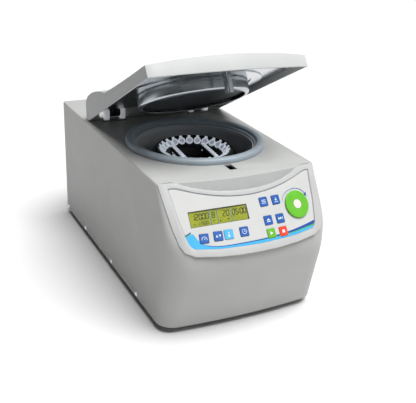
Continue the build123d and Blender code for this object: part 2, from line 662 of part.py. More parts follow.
with BuildPart() as insulation_shell:
    with BuildSketch(RZ):
        with BuildLine():
            Polyline((14.0, 112.0), (124.0, 112.0), (124.0, H - WALL - 0.3), (107.0, H - WALL - 0.3), (107.0, BOWL_FLOOR - 2.0),
                     (100.0, BOWL_FLOOR - 2.0), (14.0, BOWL_FLOOR - 2.0), close=True)
        make_face()
    revolve(axis=AXIS)
    # flat for the refrigerant pipes at the rear
    with BuildSketch(Plane.XY.offset(100)):
        with Locations((0, ROT_Y + 126)):
            Rectangle(60, 12)
    extrude(amount=160, mode=Mode.SUBTRACT)
    # flat for the latch at the front
    with BuildSketch(Plane.XY.offset(168)):
        with Locations((0, SLOT_Y + 2.0)):
            Rectangle(46, 24)
    extrude(amount=90, mode=Mode.SUBTRACT)
insulation_shell.part.label = "insulation_shell"
export_step(insulation_shell.part, "parts/insulation_shell.step")

# ---------------------------------------------------------------- drive
with BuildPart() as motor_plate:
    with BuildSketch(Plane.XY.offset(32.0)):
        with Locations((ROT_X, ROT_Y)):
            RectangleRounded(160, 160, 14)
            Circle(30, mode=Mode.SUBTRACT)
    extrude(amount=4.0)
motor_plate.part.label = "motor_plate"
export_step(motor_plate.part, "parts/motor_plate.step")

with BuildPart() as motor_dampers:
    for dx in (-66, 66):
        for dy in (-66, 66):
            with BuildSketch(Plane.XY.offset(BASE_Z)):
                with Locations((ROT_X + dx, ROT_Y + dy)):
                    Circle(9.0)
            extrude(amount=20.0)
motor_dampers.part.label = "motor_dampers"
export_step(motor_dampers.part, "parts/motor_dampers.step")

with BuildPart() as motor_body:
    with BuildSketch(RZ):
        with BuildLine():
            Polyline((0, 36.0), (54.0, 36.0), (54.0, 42.0), (50.0, 42.0), (50.0, 96.0), (54.0, 96.0), (54.0, 102.0), (30.0, 106.0),
                     (9.0, 106.0), (9.0, 60.0), (0, 60.0), close=True)
        make_face()
    revolve(axis=AXIS)
motor_body.part.label = "motor_body"
export_step(motor_body.part, "parts/motor_body.step")

with BuildPart() as drive_shaft:
    with BuildSketch(RZ):
        with BuildLine():
            Polyline((0, 62.0), (6.5, 62.0), (6.5, 150.0), (5.0, 186.0), (4.0, 186.0), (4.0, 204.0), (0, 204.0), close=True)
        make_face()
    revolve(axis=AXIS)
drive_shaft.part.label = "drive_shaft"
export_step(drive_shaft.part, "parts/drive_shaft.step")

# ---------------------------------------------------------------- rotor, tubes, strips
TILT = math.radians(45)


def tube_plane(phi_deg):
    """Seat plane of a tube at that angle round the rotor, its normal pointing up and inwards."""
    c, s_ = math.cos(math.radians(phi_deg)), math.sin(math.radians(phi_deg))
    return Plane(origin=(ROT_X + TUBE_RING * c, ROT_Y + TUBE_RING * s_, SEAT_Z),
                 x_dir=(c * math.cos(TILT), s_ * math.cos(TILT), math.sin(TILT)),
                 z_dir=(-c * math.sin(TILT), -s_ * math.sin(TILT), math.cos(TILT)))


tube_planes = [tube_plane(360.0 * k / TUBES + 14.5) for k in range(TUBES)]

STRIP_Z = 219.5
STRIP_TURN = -5.5
strip_frame = Plane(origin=(ROT_X, ROT_Y, STRIP_Z), x_dir=(math.cos(math.radians(STRIP_TURN)), math.sin(math.radians(STRIP_TURN)), 0),
                    z_dir=(0, 0, 1))
HUB_R = 34.0
# one sector of the fixed-angle ring, with the pockets of two tubes; the ring is twelve of them, keyed to the hub
with BuildPart() as sector:
    with BuildSketch(RZ):
        with BuildLine():
            Polyline((HUB_R + 0.02, 154.0), (60.0, 163.0), (88.0, 176.0), (90.5, 180.0), (90.5, 194.5), (88.0, 198.5),
                     (67.0, 225.5), (64.0, 227.5), (62.4, 226.9), (46.0, 210.5), (41.0, 200.0), (38.0, 190.0),
                     (HUB_R + 0.02, 184.0), close=True)
        make_face()
    revolve(axis=AXIS, revolution_arc=29.96)
    for phi in (7.5, 22.5):
        with BuildSketch(tube_plane(phi - 0.02).offset(3.0)):
            Circle(5.7)
        extrude(amount=-40.0, mode=Mode.SUBTRACT)

with BuildPart() as rotor_body:
    with BuildSketch(RZ):
        with BuildLine():
            Polyline((6.8, 150.5), (24.0, 150.5), (HUB_R, 154.0), (HUB_R, 184.0), (5.3, 184.0), close=True)
        make_face()
    revolve(axis=AXIS)
    for k in range(TUBES // 2):
        add(sector.part.rotate(AXIS, 30.0 * k + 7.02))
    # two racks for eight-tube strips, standing on the hub
    for sx in (-27.0, 27.0):
        with BuildSketch(strip_frame.offset(-6.0)):
            with Locations((sx, 0)):
                RectangleRounded(10.0, 66.0, 2.0)
        extrude(amount=6.0)
        with BuildSketch(strip_frame.offset(184.05 - STRIP_Z)):
            with Locations((sx * 0.9, 0)):
                Rectangle(4.0, 40.0)
        extrude(amount=STRIP_Z - 5.0 - 184.05)
        with BuildSketch(strip_frame.offset(-12.4)):
            with Locations((sx, 0)):
                with GridLocations(1, 9.0, 1, 8):
                    Circle(3.2)
        extrude(amount=13.0, mode=Mode.SUBTRACT)
rotor_body.part.label = "rotor_body"
export_step(rotor_body.part, "parts/rotor_body.step")

with BuildPart() as rotor_nut:
    with BuildSketch(Plane.XY.offset(184.1)):
        with Locations((ROT_X, ROT_Y)):
            Circle(11.0)
            Circle(5.4, mode=Mode.SUBTRACT)
    extrude(amount=4.0)
    with BuildSketch(Plane.XY.offset(188.1)):
        with Locations((ROT_X, ROT_Y)):
            RegularPolygon(8.0, 6)
            Circle(4.3, mode=Mode.SUBTRACT)
    extrude(amount=11.0)
rotor_nut.part.label = "rotor_nut"
export_step(rotor_nut.part, "parts/rotor_nut.step")

with BuildPart() as tube:
    with BuildSketch(Plane.XZ):
        with BuildLine():
            Polyline((0, 1.0), (4.6, 1.0), (4.6, -17.0), (2.0, -34.0), (0, -35.5), (0, -37.0), (2.8, -35.6), (5.4, -18.0),
                     (5.4, 0.7), (6.4, 0.7), (6.4, 3.6), (5.6, 4.1), (0, 4.1), close=True)
        make_face()
    revolve(axis=Axis.Z)
    with BuildSketch(Plane.XY.offset(1.9)):
        with Locations((7.6, 0)):
            Rectangle(4.2, 5.2)
    extrude(amount=1.4)
with BuildPart() as sample_tubes:
    with Locations(*[tp.location for tp in tube_planes]):
        add(tube.part)
sample_tubes.part.label = "sample_tubes"
export_step(sample_tubes.part, "parts/sample_tubes.step")

with BuildPart() as tube_strips:
    for sx in (-27.0, 27.0):
        for k in range(8):
            y = -31.5 + 9.0 * k
            with BuildSketch(strip_frame.offset(-12.0)):
                with Locations((sx, y)):
                    Circle(1.6)
            with BuildSketch(strip_frame.offset(0.2)):
                with Locations((sx, y)):
                    Circle(2.9)
            loft()
            with BuildSketch(strip_frame.offset(1.2)):
                with Locations((sx, y)):
                    Circle(3.0)
            with BuildSketch(strip_frame.offset(2.6)):
                with Locations((sx, y)):
                    Circle(2.2)
            loft()
        with BuildSketch(strip_frame.offset(0.2)):
            with Locations((sx, 0)):
                Rectangle(2.6, 69.0)
                with GridLocations(1, 9.0, 1, 8):
                    Circle(3.7)
        extrude(amount=1.4)
tube_strips.part.label = "tube_strips"
export_step(tube_strips.part, "parts/tube_strips.step")

# ---------------------------------------------------------------- refrigeration
COMP_X, COMP_Y = -66.0, 178.0
with BuildPart() as compressor:
    with BuildSketch(Plane(origin=(COMP_X, COMP_Y, 0), x_dir=(1, 0, 0), z_dir=(0, -1, 0))):
        with BuildLine():
            Line((0, 24.0), (44.0, 24.0))
            Line((44.0, 24.0), (50.0, 34.0))
            Line((50.0, 34.0), (50.0, 112.0))
            Line((50.0, 112.0), (44.0, 128.0))
            Line((44.0, 128.0), (28.0, 140.0))
            Line((28.0, 140.0), (0, 146.0))
            Line((0, 146.0), (0, 24.0))
        make_face()
    revolve(axis=Axis((COMP_X, COMP_Y, 0), (0, 0, 1)))
    with BuildSketch(Plane.XY.offset(22.0)):
        with Locations((COMP_X, COMP_Y)):
            RectangleRounded(112, 84, 10)
    extrude(amount=4.0)
    with BuildSketch(Plane.YZ.offset(COMP_X + 44.0)):
        with Locations((COMP_Y, 84.0)):
            Rectangle(30, 34)
    extrude(amount=13.0)
compressor.part.label = "compressor"
export_step(compressor.part, "parts/compressor.step")

with BuildPart() as compressor_grommets:
    with BuildSketch(Plane.XY.offset(BASE_Z)):
        with Locations((COMP_X, COMP_Y)):
            with GridLocations(92, 64, 2, 2):
                Circle(8.0)
    extrude(amount=10.0)
compressor_grommets.part.label = "compressor_grommets"
export_step(compressor_grommets.part, "parts/compressor_grommets.step")

with BuildPart() as condenser:
    for k in range(22):
        with BuildSketch(Plane.YZ.offset(8.0 + 5.0 * k)):
            with Locations((222.0, 121.0)):
                Rectangle(38.0, 122.0)
        extrude(amount=1.0)
    with BuildSketch(Plane.YZ.offset(3.0)):
        with Locations((222.0, 121.0)):
            with GridLocations(20, 28, 2, 4):
                Circle(4.0)
    extrude(amount=116.0)
condenser.part.label = "condenser"
export_step(condenser.part, "parts/condenser.step")

with BuildPart() as filter_drier:
    with BuildSketch(Plane.XY.offset(60.0)):
        with Locations((24.0, 176.0)):
            Circle(9.0)
    extrude(amount=70.0)
    with BuildSketch(Plane.XY.offset(50.0)):
        with Locations((24.0, 176.0)):
            Circle(3.0)
    extrude(amount=90.0)
filter_drier.part.label = "filter_drier"
export_step(filter_drier.part, "parts/filter_drier.step")

with BuildPart() as refrigerant_lines:
    # liquid line: drier up and over to the chamber; suction line back to the compressor; discharge line
    for pts, rad in (
        ([(24, 176, 140.4), (24, 176, 170), (14, 110, 170), (14, 91.5, 170)], 9.0),
        ([(-10, 91.5, 190), (-10, 112, 190), (-66, 150, 190), (-66, 178, 190), (-66, 178, 146.5)], 9.0),
        ([(-11.0, 200, 60), (-2.0, 200, 60), (-2.0, 212, 60), (-2.0, 212, 79), (2.6, 212, 79)], 3.5),
    ):
        with BuildLine() as route:
            FilletPolyline(*pts, radius=rad)
        w = route.wires()[0] if route.wires() else route.line
        with BuildSketch(Plane(origin=w @ 0, z_dir=w % 0)):
            Circle(2.6)
        sweep(path=w)
refrigerant_lines.part.label = "refrigerant_lines"
export_step(refrigerant_lines.part, "parts/refrigerant_lines.step")

with BuildPart() as power_board:
    with BuildSketch(Plane.XY.offset(24.0)):
        with Locations((0, -178)):
            Rectangle(190, 74)
    extrude(amount=1.6)
    with BuildSketch(Plane.XY.offset(BASE_Z)):
        with Locations((0, -178)):
            with GridLocations(178, 62, 2, 2):
                Circle(3.0)
    extrude(amount=12.0)
    with BuildSketch(Plane.XY.offset(25.6)):
        with Locations((-60, -186)):
            Rectangle(34, 40)
        with Locations((-12, -166)):
            Rectangle(24, 26)
    extrude(amount=30.0)
    with BuildSketch(Plane.XY.offset(25.6)):
        with Locations((40, -190), (62, -190), (84, -190)):
            Circle(9.0)
    extrude(amount=34.0)
power_board.part.label = "power_board"
export_step(power_board.part, "parts/power_board.step")

# ---------------------------------------------------------------- latch
with BuildPart() as latch_housing:
    with BuildSketch(Plane.XY.offset(206.0)):
        with Locations((0, SLOT_Y)):
            RectangleRounded(44.0, 31.0, 2)
    extrude(amount=H - WALL - 0.2 - 206.0)
    with BuildSketch(Plane.XY.offset(208.5)):
        with Locations((0, SLOT_Y)):
            Rectangle(12.5, 23.0)
    extrude(amount=40.0, mode=Mode.SUBTRACT)
    # bolt way, along X, open on the right
    with BuildSketch(Plane.YZ.offset(-10.0)):
        with Locations((SLOT_Y, 219.0)):
            Rectangle(7.2, 7.2)
    extrude(amount=40.0, mode=Mode.SUBTRACT)
    # room for the lid seal insulation behind
    with BuildSketch(Plane.XY.offset(200.0)):
        with Locations((ROT_X, ROT_Y)):
            Circle(124.6)
    extrude(amount=60.0, mode=Mode.SUBTRACT)
latch_housing.part.label = "latch_housing"
export_step(latch_housing.part, "parts/latch_housing.step")

with BuildPart() as latch_bolt:
    with BuildSketch(Plane.YZ.offset(7.0)):
        with Locations((SLOT_Y, 219.0)):
            RectangleRounded(6.6, 6.6, 0.6)
    extrude(amount=22.0)
    with BuildSketch(Plane.YZ.offset(29.0)):
        with Locations((SLOT_Y, 219.0)):
            Circle(2.0)
    extrude(amount=24.0)
latch_bolt.part.label = "latch_bolt"
export_step(latch_bolt.part, "parts/latch_bolt.step")

with BuildPart() as latch_solenoid:
    with BuildSketch(Plane.YZ.offset(39.0)):
        with Locations((SLOT_Y - 1.0, 219.0)):
            RectangleRounded(20.0, 22.0, 2)
    extrude(amount=30.0)
    with BuildSketch(Plane.YZ.offset(38.0)):
        with Locations((SLOT_Y, 219.0)):
            Circle(2.06)
    extrude(amount=20.0, mode=Mode.SUBTRACT)
    with BuildSketch(Plane.XY.offset(230.0)):
        with Locations((50.0, SLOT_Y - 1.0)):
            Rectangle(20.0, 20.0)
    extrude(amount=H - WALL - 0.2 - 230.0)
latch_solenoid.part.label = "latch_solenoid"
export_step(latch_solenoid.part, "parts/latch_solenoid.step")

# ---------------------------------------------------------------- hinges
with BuildPart() as hinge_brackets:
    for side in (-1, 1):
        with BuildSketch(Plane.XY.offset(H + 0.05)):
            with Locations((side * 84.5, 128.0)):
                RectangleRounded(46.0, 18.0, 2)
        extrude(amount=2.2)
        for px in (69.5, 99.5):
            with BuildSketch(Plane.XY.offset(H + 2.2)):
                with Locations((side * px, 130.0)):
                    RectangleRounded(9.6, 12.0, 1.6)
            extrude(amount=18.0)
    fillet(hinge_brackets.faces().sort_by(Axis.Z)[-4:].edges(), 1.4)
    for side in (-1, 1):
        with BuildSketch(Plane.YZ.offset(side * 60.0)):
            with Locations((HINGE_Y, HINGE_Z)):
                Circle(2.5)
        extrude(amount=side * 50.0, mode=Mode.SUBTRACT)
hinge_brackets.part.label = "hinge_brackets"
export_step(hinge_brackets.part, "parts/hinge_brackets.step")

with BuildPart() as hinge_pins:
    for side in (-1, 1):
        with BuildSketch(Plane.YZ.offset(side * 64.1)):
            with Locations((HINGE_Y, HINGE_Z)):
                Circle(2.48)
        extrude(amount=side * 40.8)
hinge_pins.part.label = "hinge_pins"
export_step(hinge_pins.part, "parts/hinge_pins.step")

# ---------------------------------------------------------------- lid, drawn closed and then opened about the hinge
SIDE_PROFILE = {
    "p0": (137.4, LID_EDGE_Z), "p1": (145.0, 244.1), "p2": (135.5, 269.5), "p3": (127.2, 276.0), "p4": (112.1, 279.9),
    "p5": (91.6, 279.9), "p6": (49.9, 273.3), "p7": (18.6, 263.8), "p8": (-58.0, 260.8), "p9": (-182.6, 258.4),
    "p10": (-186.4, LID_EDGE_Z),
}


# share of the crown that each point of the top takes
RISE = {"p2": 0.35, "p3": 0.45, "p4": 0.5, "p5": 0.5, "p6": 0.55, "p7": 0.65, "p8": 0.8, "p9": 1.0}


def lid_top(p, front, crown):
    """Top line of a lid section from the rear of the hump to the nose."""
    q = {k: (p[k][0], p[k][1] + crown * RISE[k]) for k in RISE}
    Spline(q["p2"], q["p3"], q["p4"], q["p5"], q["p6"], q["p7"])
    nose = (p["p9"][0] - front, q["p9"][1])
    ThreePointArc(q["p7"], (p["p8"][0] - front * 0.4, q["p8"][1]), nose)
    toe = (p["p10"][0] - front, p["p10"][1])
    Line(nose, toe)
    return q["p2"], toe


def lid_section(x, front, crown):
    """Side profile of the lid at x; front and crown move its nose and its top."""
    p = SIDE_PROFILE
    with BuildSketch(Plane.YZ.offset(x)) as sk:
        with BuildLine():
            rear, toe = lid_top(p, front, crown)
            Polyline(toe, p["p0"], p["p1"], rear)
        make_face()
    return sk.sketch


INNER_PROFILE = {
    "i0": (133.0, 228.0), "ia": (134.2, 240.8), "i1": (141.6, 245.6), "p2": (133.2, 267.6), "p3": (125.4, 273.4),
    "p4": (111.8, 276.9), "p5": (92.0, 276.9), "p6": (50.8, 270.4), "p7": (19.0, 260.9), "p8": (-58.0, 257.9),
    "p9": (-179.4, 255.6), "p10": (-184.8, 228.0),
}


def lid_inner_section(x, front, crown):
    p = INNER_PROFILE
    with BuildSketch(Plane.YZ.offset(x)) as sk:
        with BuildLine():
            rear, toe = lid_top(p, front, crown)
            Polyline(toe, p["i0"], p["ia"], p["i1"], rear)
        make_face()
    return sk.sketch


HINGE_AXIS = Axis((0, HINGE_Y, HINGE_Z), (1, 0, 0))


def opened(part):
    """The same piece with the lid at its open stop."""
    return part.rotate(HINGE_AXIS, -LID_OPEN)


BAY = 1.0 - (LID_HALF - 3.0) ** 2 / LID_HALF ** 2
with BuildPart() as lid_cavity:
    loft(sections=[lid_inner_section(-(LID_HALF - 3.0), LID_BOW * BAY, LID_CROWN * BAY), lid_inner_section(0, LID_BOW, LID_CROWN),
                   lid_inner_section(LID_HALF - 3.0, LID_BOW * BAY, LID_CROWN * BAY)])

with BuildPart() as lid_ribs:
    for side in (-1, 1):
        with BuildSketch(Plane.YZ.offset(side * 84.5 - 7.0)):
            with BuildLine():
                Polyline((112.0, 268.2), (60.0, 262.5), (60.0, 300.0), (112.0, 300.0), close=True)
            make_face()
        extrude(amount=14.0)
    loft(sections=[lid_section(-LID_HALF, 0, 0), lid_section(0, LID_BOW, LID_CROWN), lid_section(LID_HALF, 0, 0)], mode=Mode.INTERSECT)

with BuildPart() as lid_shell:
    loft(sections=[lid_section(-LID_HALF, 0, 0), lid_section(0, LID_BOW, LID_CROWN), lid_section(LID_HALF, 0, 0)])
    add(lid_cavity.part, mode=Mode.SUBTRACT)
    # bays for the hinge brackets in the rear wall
    for side in (-1, 1):
        with BuildSketch(Plane.XY.offset(230.0)):
            with Locations((side * 84.5, 140.0)):
                Rectangle(50.0, 22.0)
        extrude(amount=31.0, mode=Mode.SUBTRACT)
    # ribs that carry the hinge arms
    add(lid_ribs.part)
lid_shell_part = opened(lid_shell.part)
lid_shell_part.label = "lid_shell"
export_step(lid_shell_part, "parts/lid_shell.step")

PAN_Z = 248.6
DRUM_R = 93.4             # outside radius of the lid drum
with BuildPart() as lid_pan:
    with BuildSketch(Plane.XY.offset(PAN_Z)):
        with BuildLine():
            Line((-129.8, 96.0), (129.8, 96.0))
            Line((129.8, 96.0), (129.8, -179.0))
            ThreePointArc((129.8, -179.0), (0, -189.1), (-129.8, -179.0))
            Line((-129.8, -179.0), (-129.8, 96.0))
        make_face()
        fillet(vertices(), 3.0)
    extrude(amount=1.5)
    # raised sealing ring round the drum
    with BuildSketch(Plane.XY.offset(PAN_Z)):
        with Locations((ROT_X, ROT_Y)):
            Circle(GASKET_R)
            Circle(99.0, mode=Mode.SUBTRACT)
    extrude(amount=-1.6)
    with BuildSketch(Plane.XY.offset(PAN_Z - 5)):
        with Locations((ROT_X, ROT_Y)):
            Circle(86.0)
    extrude(amount=10.0, mode=Mode.SUBTRACT)
lid_pan_part = opened(lid_pan.part)
lid_pan_part.label = "lid_pan"
export_step(lid_pan_part, "parts/lid_pan.step")

with BuildPart() as lid_drum:
    with BuildSketch(RZ):
        with BuildLine():
            Line((DRUM_R, PAN_Z - 0.1), (DRUM_R, 240.0))
            Line((DRUM_R, 240.0), (DRUM_R - 0.5, 229.6))
            ThreePointArc((DRUM_R - 0.5, 229.6), (DRUM_R - 1.7, 226.6), (DRUM_R - 4.6, 225.2))
            Line((DRUM_R - 4.6, 225.2), (DRUM_R - 7.6, 225.2))
            Line((DRUM_R - 7.6, 225.2), (DRUM_R - 7.6, 227.0))
            Line((DRUM_R - 7.6, 227.0), (DRUM_R - 2.1, 230.0))
            Line((DRUM_R - 2.1, 230.0), (DRUM_R - 1.6, 240.2))
            Line((DRUM_R - 1.6, 240.2), (DRUM_R - 1.6, PAN_Z - 0.1))
            Line((DRUM_R - 1.6, PAN_Z - 0.1), (DRUM_R, PAN_Z - 0.1))
        make_face()
    revolve(axis=AXIS)
lid_drum_part = opened(lid_drum.part)
lid_drum_part.label = "lid_drum"
export_step(lid_drum_part, "parts/lid_drum.step")

with BuildPart() as drum_pad:
    with BuildSketch(Plane.XY.offset(230.6)):
        with Locations((ROT_X, ROT_Y)):
            Circle(DRUM_R - 2.9)
    extrude(amount=4.3)
    with BuildSketch(Plane.XY.offset(234.9)):
        with Locations((ROT_X, ROT_Y)):
            Circle(84.0)
    extrude(amount=15.7)
drum_pad_part = opened(drum_pad.part)
drum_pad_part.label = "drum_pad"
export_step(drum_pad_part, "parts/drum_pad.step")

with BuildPart() as lid_striker:
    with BuildSketch(Plane.XY.offset(PAN_Z - 0.05)):
        with Locations((0, SLOT_Y)):
            RectangleRounded(22.0, 26.0, 2)
    extrude(amount=-2.0)
    with BuildSketch(Plane.XY.offset(PAN_Z - 2.0)):
        with Locations((0, SLOT_Y)):
            RectangleRounded(8.0, 16.0, 1.5)
    extrude(amount=-(PAN_Z - 2.0 - 211.0))
    with BuildSketch(Plane.YZ.offset(-20.0)):
        with Locations((SLOT_Y, 218.6)):
            Rectangle(9.0, 9.2)
    extrude(amount=40.0, mode=Mode.SUBTRACT)
lid_striker_part = opened(lid_striker.part)
lid_striker_part.label = "lid_striker"
export_step(lid_striker_part, "parts/lid_striker.step")

with BuildPart() as hinge_arms:
    for side in (-1, 1):
        with BuildSketch(Plane.YZ.offset(side * 84.5 - 6.5)):
            with BuildLine():
                Polyline((HINGE_Y - 3, HINGE_Z + 8.0), (112.0, 267.8), (60.0, 262.1), (60.0, 254.0), (112.0, 252.0),
                         (HINGE_Y - 4.0, HINGE_Z - 7.5), close=True)
            make_face()
        extrude(amount=13.0)
        with BuildSketch(Plane.YZ.offset(side * 84.5 - 9.6)):
            with Locations((HINGE_Y, HINGE_Z)):
                Circle(8.6)
        extrude(amount=19.2)
        with BuildSketch(Plane.YZ.offset(side * 84.5 - 11.0)):
            with Locations((HINGE_Y, HINGE_Z)):
                Circle(2.53)
        extrude(amount=22.0, mode=Mode.SUBTRACT)
hinge_arms_part = opened(hinge_arms.part)
hinge_arms_part.label = "hinge_arms"
export_step(hinge_arms_part, "parts/hinge_arms.step")

with BuildPart() as lid_screws:
    for px, py in ((-118, -150), (118, -150), (-118, 76), (118, 76), (0, 86)):
        with BuildSketch(Plane.XY.offset(PAN_Z - 0.05)):
            with Locations((px, py)):
                Circle(3.6)
        extrude(amount=-1.6, taper=25)
lid_screws_part = opened(lid_screws.part)
lid_screws_part.label = "lid_screws"
export_step(lid_screws_part, "parts/lid_screws.step")
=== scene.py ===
import math

import bmesh
import bpy
from mathutils import Matrix, Vector


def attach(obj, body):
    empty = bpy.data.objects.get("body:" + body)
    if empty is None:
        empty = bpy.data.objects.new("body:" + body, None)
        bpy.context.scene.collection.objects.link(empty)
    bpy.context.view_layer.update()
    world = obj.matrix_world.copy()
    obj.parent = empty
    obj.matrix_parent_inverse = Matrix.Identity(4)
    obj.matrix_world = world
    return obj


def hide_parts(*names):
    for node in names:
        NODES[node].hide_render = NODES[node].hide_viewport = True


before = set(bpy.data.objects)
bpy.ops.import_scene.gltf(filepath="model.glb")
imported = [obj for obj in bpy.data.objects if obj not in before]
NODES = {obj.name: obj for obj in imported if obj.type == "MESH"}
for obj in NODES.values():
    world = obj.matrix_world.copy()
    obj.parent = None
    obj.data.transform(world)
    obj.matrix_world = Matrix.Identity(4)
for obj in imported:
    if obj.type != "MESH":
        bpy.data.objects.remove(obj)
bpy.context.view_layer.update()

MM = 0.001

# ---------------------------------------------------------------- dimensions of the part (mm)
H = 236.3
REAR_Y = 277.2
HALF_REAR, HALF_FRONT = 140.0, 134.0
CORNER_Y, BOW = -193.0, 16.0
SLOPE = math.radians(35.45)
SS, CS = math.sin(SLOPE), math.cos(SLOPE)
SAG = BOW * CS
BOW_R = (HALF_FRONT**2 + SAG**2) / (2 * SAG)
FRONT_C = CORNER_Y - BOW
ROT_X, ROT_Y = 0.0, -38.0
HINGE = Vector((0.0, 131.0, 250.0))
LID_OPEN = math.radians(26.5)
DIAL = (80.6, 58.2)
KEYS = {
    "key_speed": (-82.9, 85.5), "key_accel": (-61.3, 84.1), "key_temp": (-44.8, 83.5), "key_time": (-19.9, 82.7),
    "key_program": (23.0, 43.8), "key_save": (44.6, 44.1), "key_open": (23.6, 72.5), "key_short": (44.8, 73.2),
    "key_start": (23.7, 92.4), "key_stop": (45.0, 93.2),
}


def bow_y(x):
    return FRONT_C + (BOW_R - math.sqrt(BOW_R**2 - x**2)) / CS


def bow_slope(x):
    return x / math.sqrt(BOW_R**2 - x**2) / CS


def panel_normal(x):
    return Vector((bow_slope(x) * CS, -CS, SS)).normalized()


def panel_point(x, s, off=0.0):
    """Point on the bowed control panel, x across and s down the slope, off above it, in mm."""
    return Vector((x, bow_y(x) - s * SS, H - s * CS)) + panel_normal(x) * off


def panel_frame(x, s, off=0.0):
    """Origin, across, up and normal of the plane that touches the panel at (x, s)."""
    n = panel_normal(x)
    t = Vector((1.0, bow_slope(x), 0.0)).normalized()
    return panel_point(x, s, off), t, n.cross(t), n


def lid_point(p):
    """A point of the closed lid, moved to where it is with the lid open."""
    d = Vector(p) - HINGE
    c, s = math.cos(-LID_OPEN), math.sin(-LID_OPEN)
    return Vector((d.x, d.y * c - d.z * s, d.y * s + d.z * c)) + HINGE


# ---------------------------------------------------------------- materials
def srgb(r, g, b):
    out = []
    for v in (r, g, b):
        v = v / 255.0
        out.append(v / 12.92 if v <= 0.04045 else ((v + 0.055) / 1.055) ** 2.4)
    return (*out, 1.0)


def material(name, low, high, rough, rough_var=0.05, metallic=0.0, scale=120.0, detail=3.0, bump=0.0, bump_scale=900.0,
             stretch=(1, 1, 1), coat=0.0, coat_rough=0.1, ior=1.45, sheen=0.0, alpha=1.0, emission=0.0, specular=0.5,
             subsurface=0.0, transmission=0.0, wear=None):
    """Principled material whose colour drifts between low and high, with its own roughness drift and bump."""
    m = bpy.data.materials.new(name)
    m.use_nodes = True
    nt = m.node_tree
    nt.nodes.clear()
    out = nt.nodes.new("ShaderNodeOutputMaterial")
    p = nt.nodes.new("ShaderNodeBsdfPrincipled")
    nt.links.new(p.outputs[0], out.inputs[0])
    tc = nt.nodes.new("ShaderNodeTexCoord")
    mp = nt.nodes.new("ShaderNodeMapping")
    mp.inputs["Scale"].default_value = stretch
    nt.links.new(tc.outputs["Object"], mp.inputs[0])
    no = nt.nodes.new("ShaderNodeTexNoise")
    no.inputs["Scale"].default_value = scale
    no.inputs["Detail"].default_value = detail
    nt.links.new(mp.outputs[0], no.inputs["Vector"])
    ramp = nt.nodes.new("ShaderNodeValToRGB")
    ramp.color_ramp.elements[0].position = 0.3
    ramp.color_ramp.elements[0].color = low
    ramp.color_ramp.elements[1].position = 0.7
    ramp.color_ramp.elements[1].color = high
    nt.links.new(no.outputs["Fac"], ramp.inputs[0])
    nt.links.new(ramp.outputs[0], p.inputs["Base Color"])
    if emission:
        nt.links.new(ramp.outputs[0], p.inputs["Emission Color"])
        p.inputs["Emission Strength"].default_value = emission
    mr = nt.nodes.new("ShaderNodeMapRange")
    mr.inputs["To Min"].default_value = max(0.0, rough - rough_var)
    mr.inputs["To Max"].default_value = min(1.0, rough + rough_var)
    n2 = nt.nodes.new("ShaderNodeTexNoise")
    n2.inputs["Scale"].default_value = scale * 2.7
    n2.inputs["Detail"].default_value = 4.0
    nt.links.new(mp.outputs[0], n2.inputs["Vector"])
    nt.links.new(n2.outputs["Fac"], mr.inputs["Value"])
    nt.links.new(mr.outputs[0], p.inputs["Roughness"])
    p.inputs["Metallic"].default_value = metallic
    p.inputs["IOR"].default_value = ior
    p.inputs["Specular IOR Level"].default_value = specular
    if coat:
        p.inputs["Coat Weight"].default_value = coat
        p.inputs["Coat Roughness"].default_value = coat_rough
    if sheen:
        p.inputs["Sheen Weight"].default_value = sheen
        p.inputs["Sheen Roughness"].default_value = 0.4
    if alpha < 1.0:
        p.inputs["Alpha"].default_value = alpha
    if transmission:
        p.inputs["Transmission Weight"].default_value = transmission
    if subsurface:
        p.inputs["Subsurface Weight"].default_value = subsurface
        p.inputs["Subsurface Radius"].default_value = (0.004, 0.004, 0.004)
    if bump:
        n3 = nt.nodes.new("ShaderNodeTexNoise")
        n3.inputs["Scale"].default_value = bump_scale
        n3.inputs["Detail"].default_value = 2.0
        nt.links.new(mp.outputs[0], n3.inputs["Vector"])
        bp = nt.nodes.new("ShaderNodeBump")
        bp.inputs["Strength"].default_value = bump
        bp.inputs["Distance"].default_value = 0.0004
        nt.links.new(n3.outputs["Fac"], bp.inputs["Height"])
        nt.links.new(bp.outputs[0], p.inputs["Normal"])
    return m


def pair(r, g, b, d=4):
    """Two near shades around one sRGB colour."""
    return srgb(r - d, g - d, b - d), srgb(r + d, g + d, b + d)


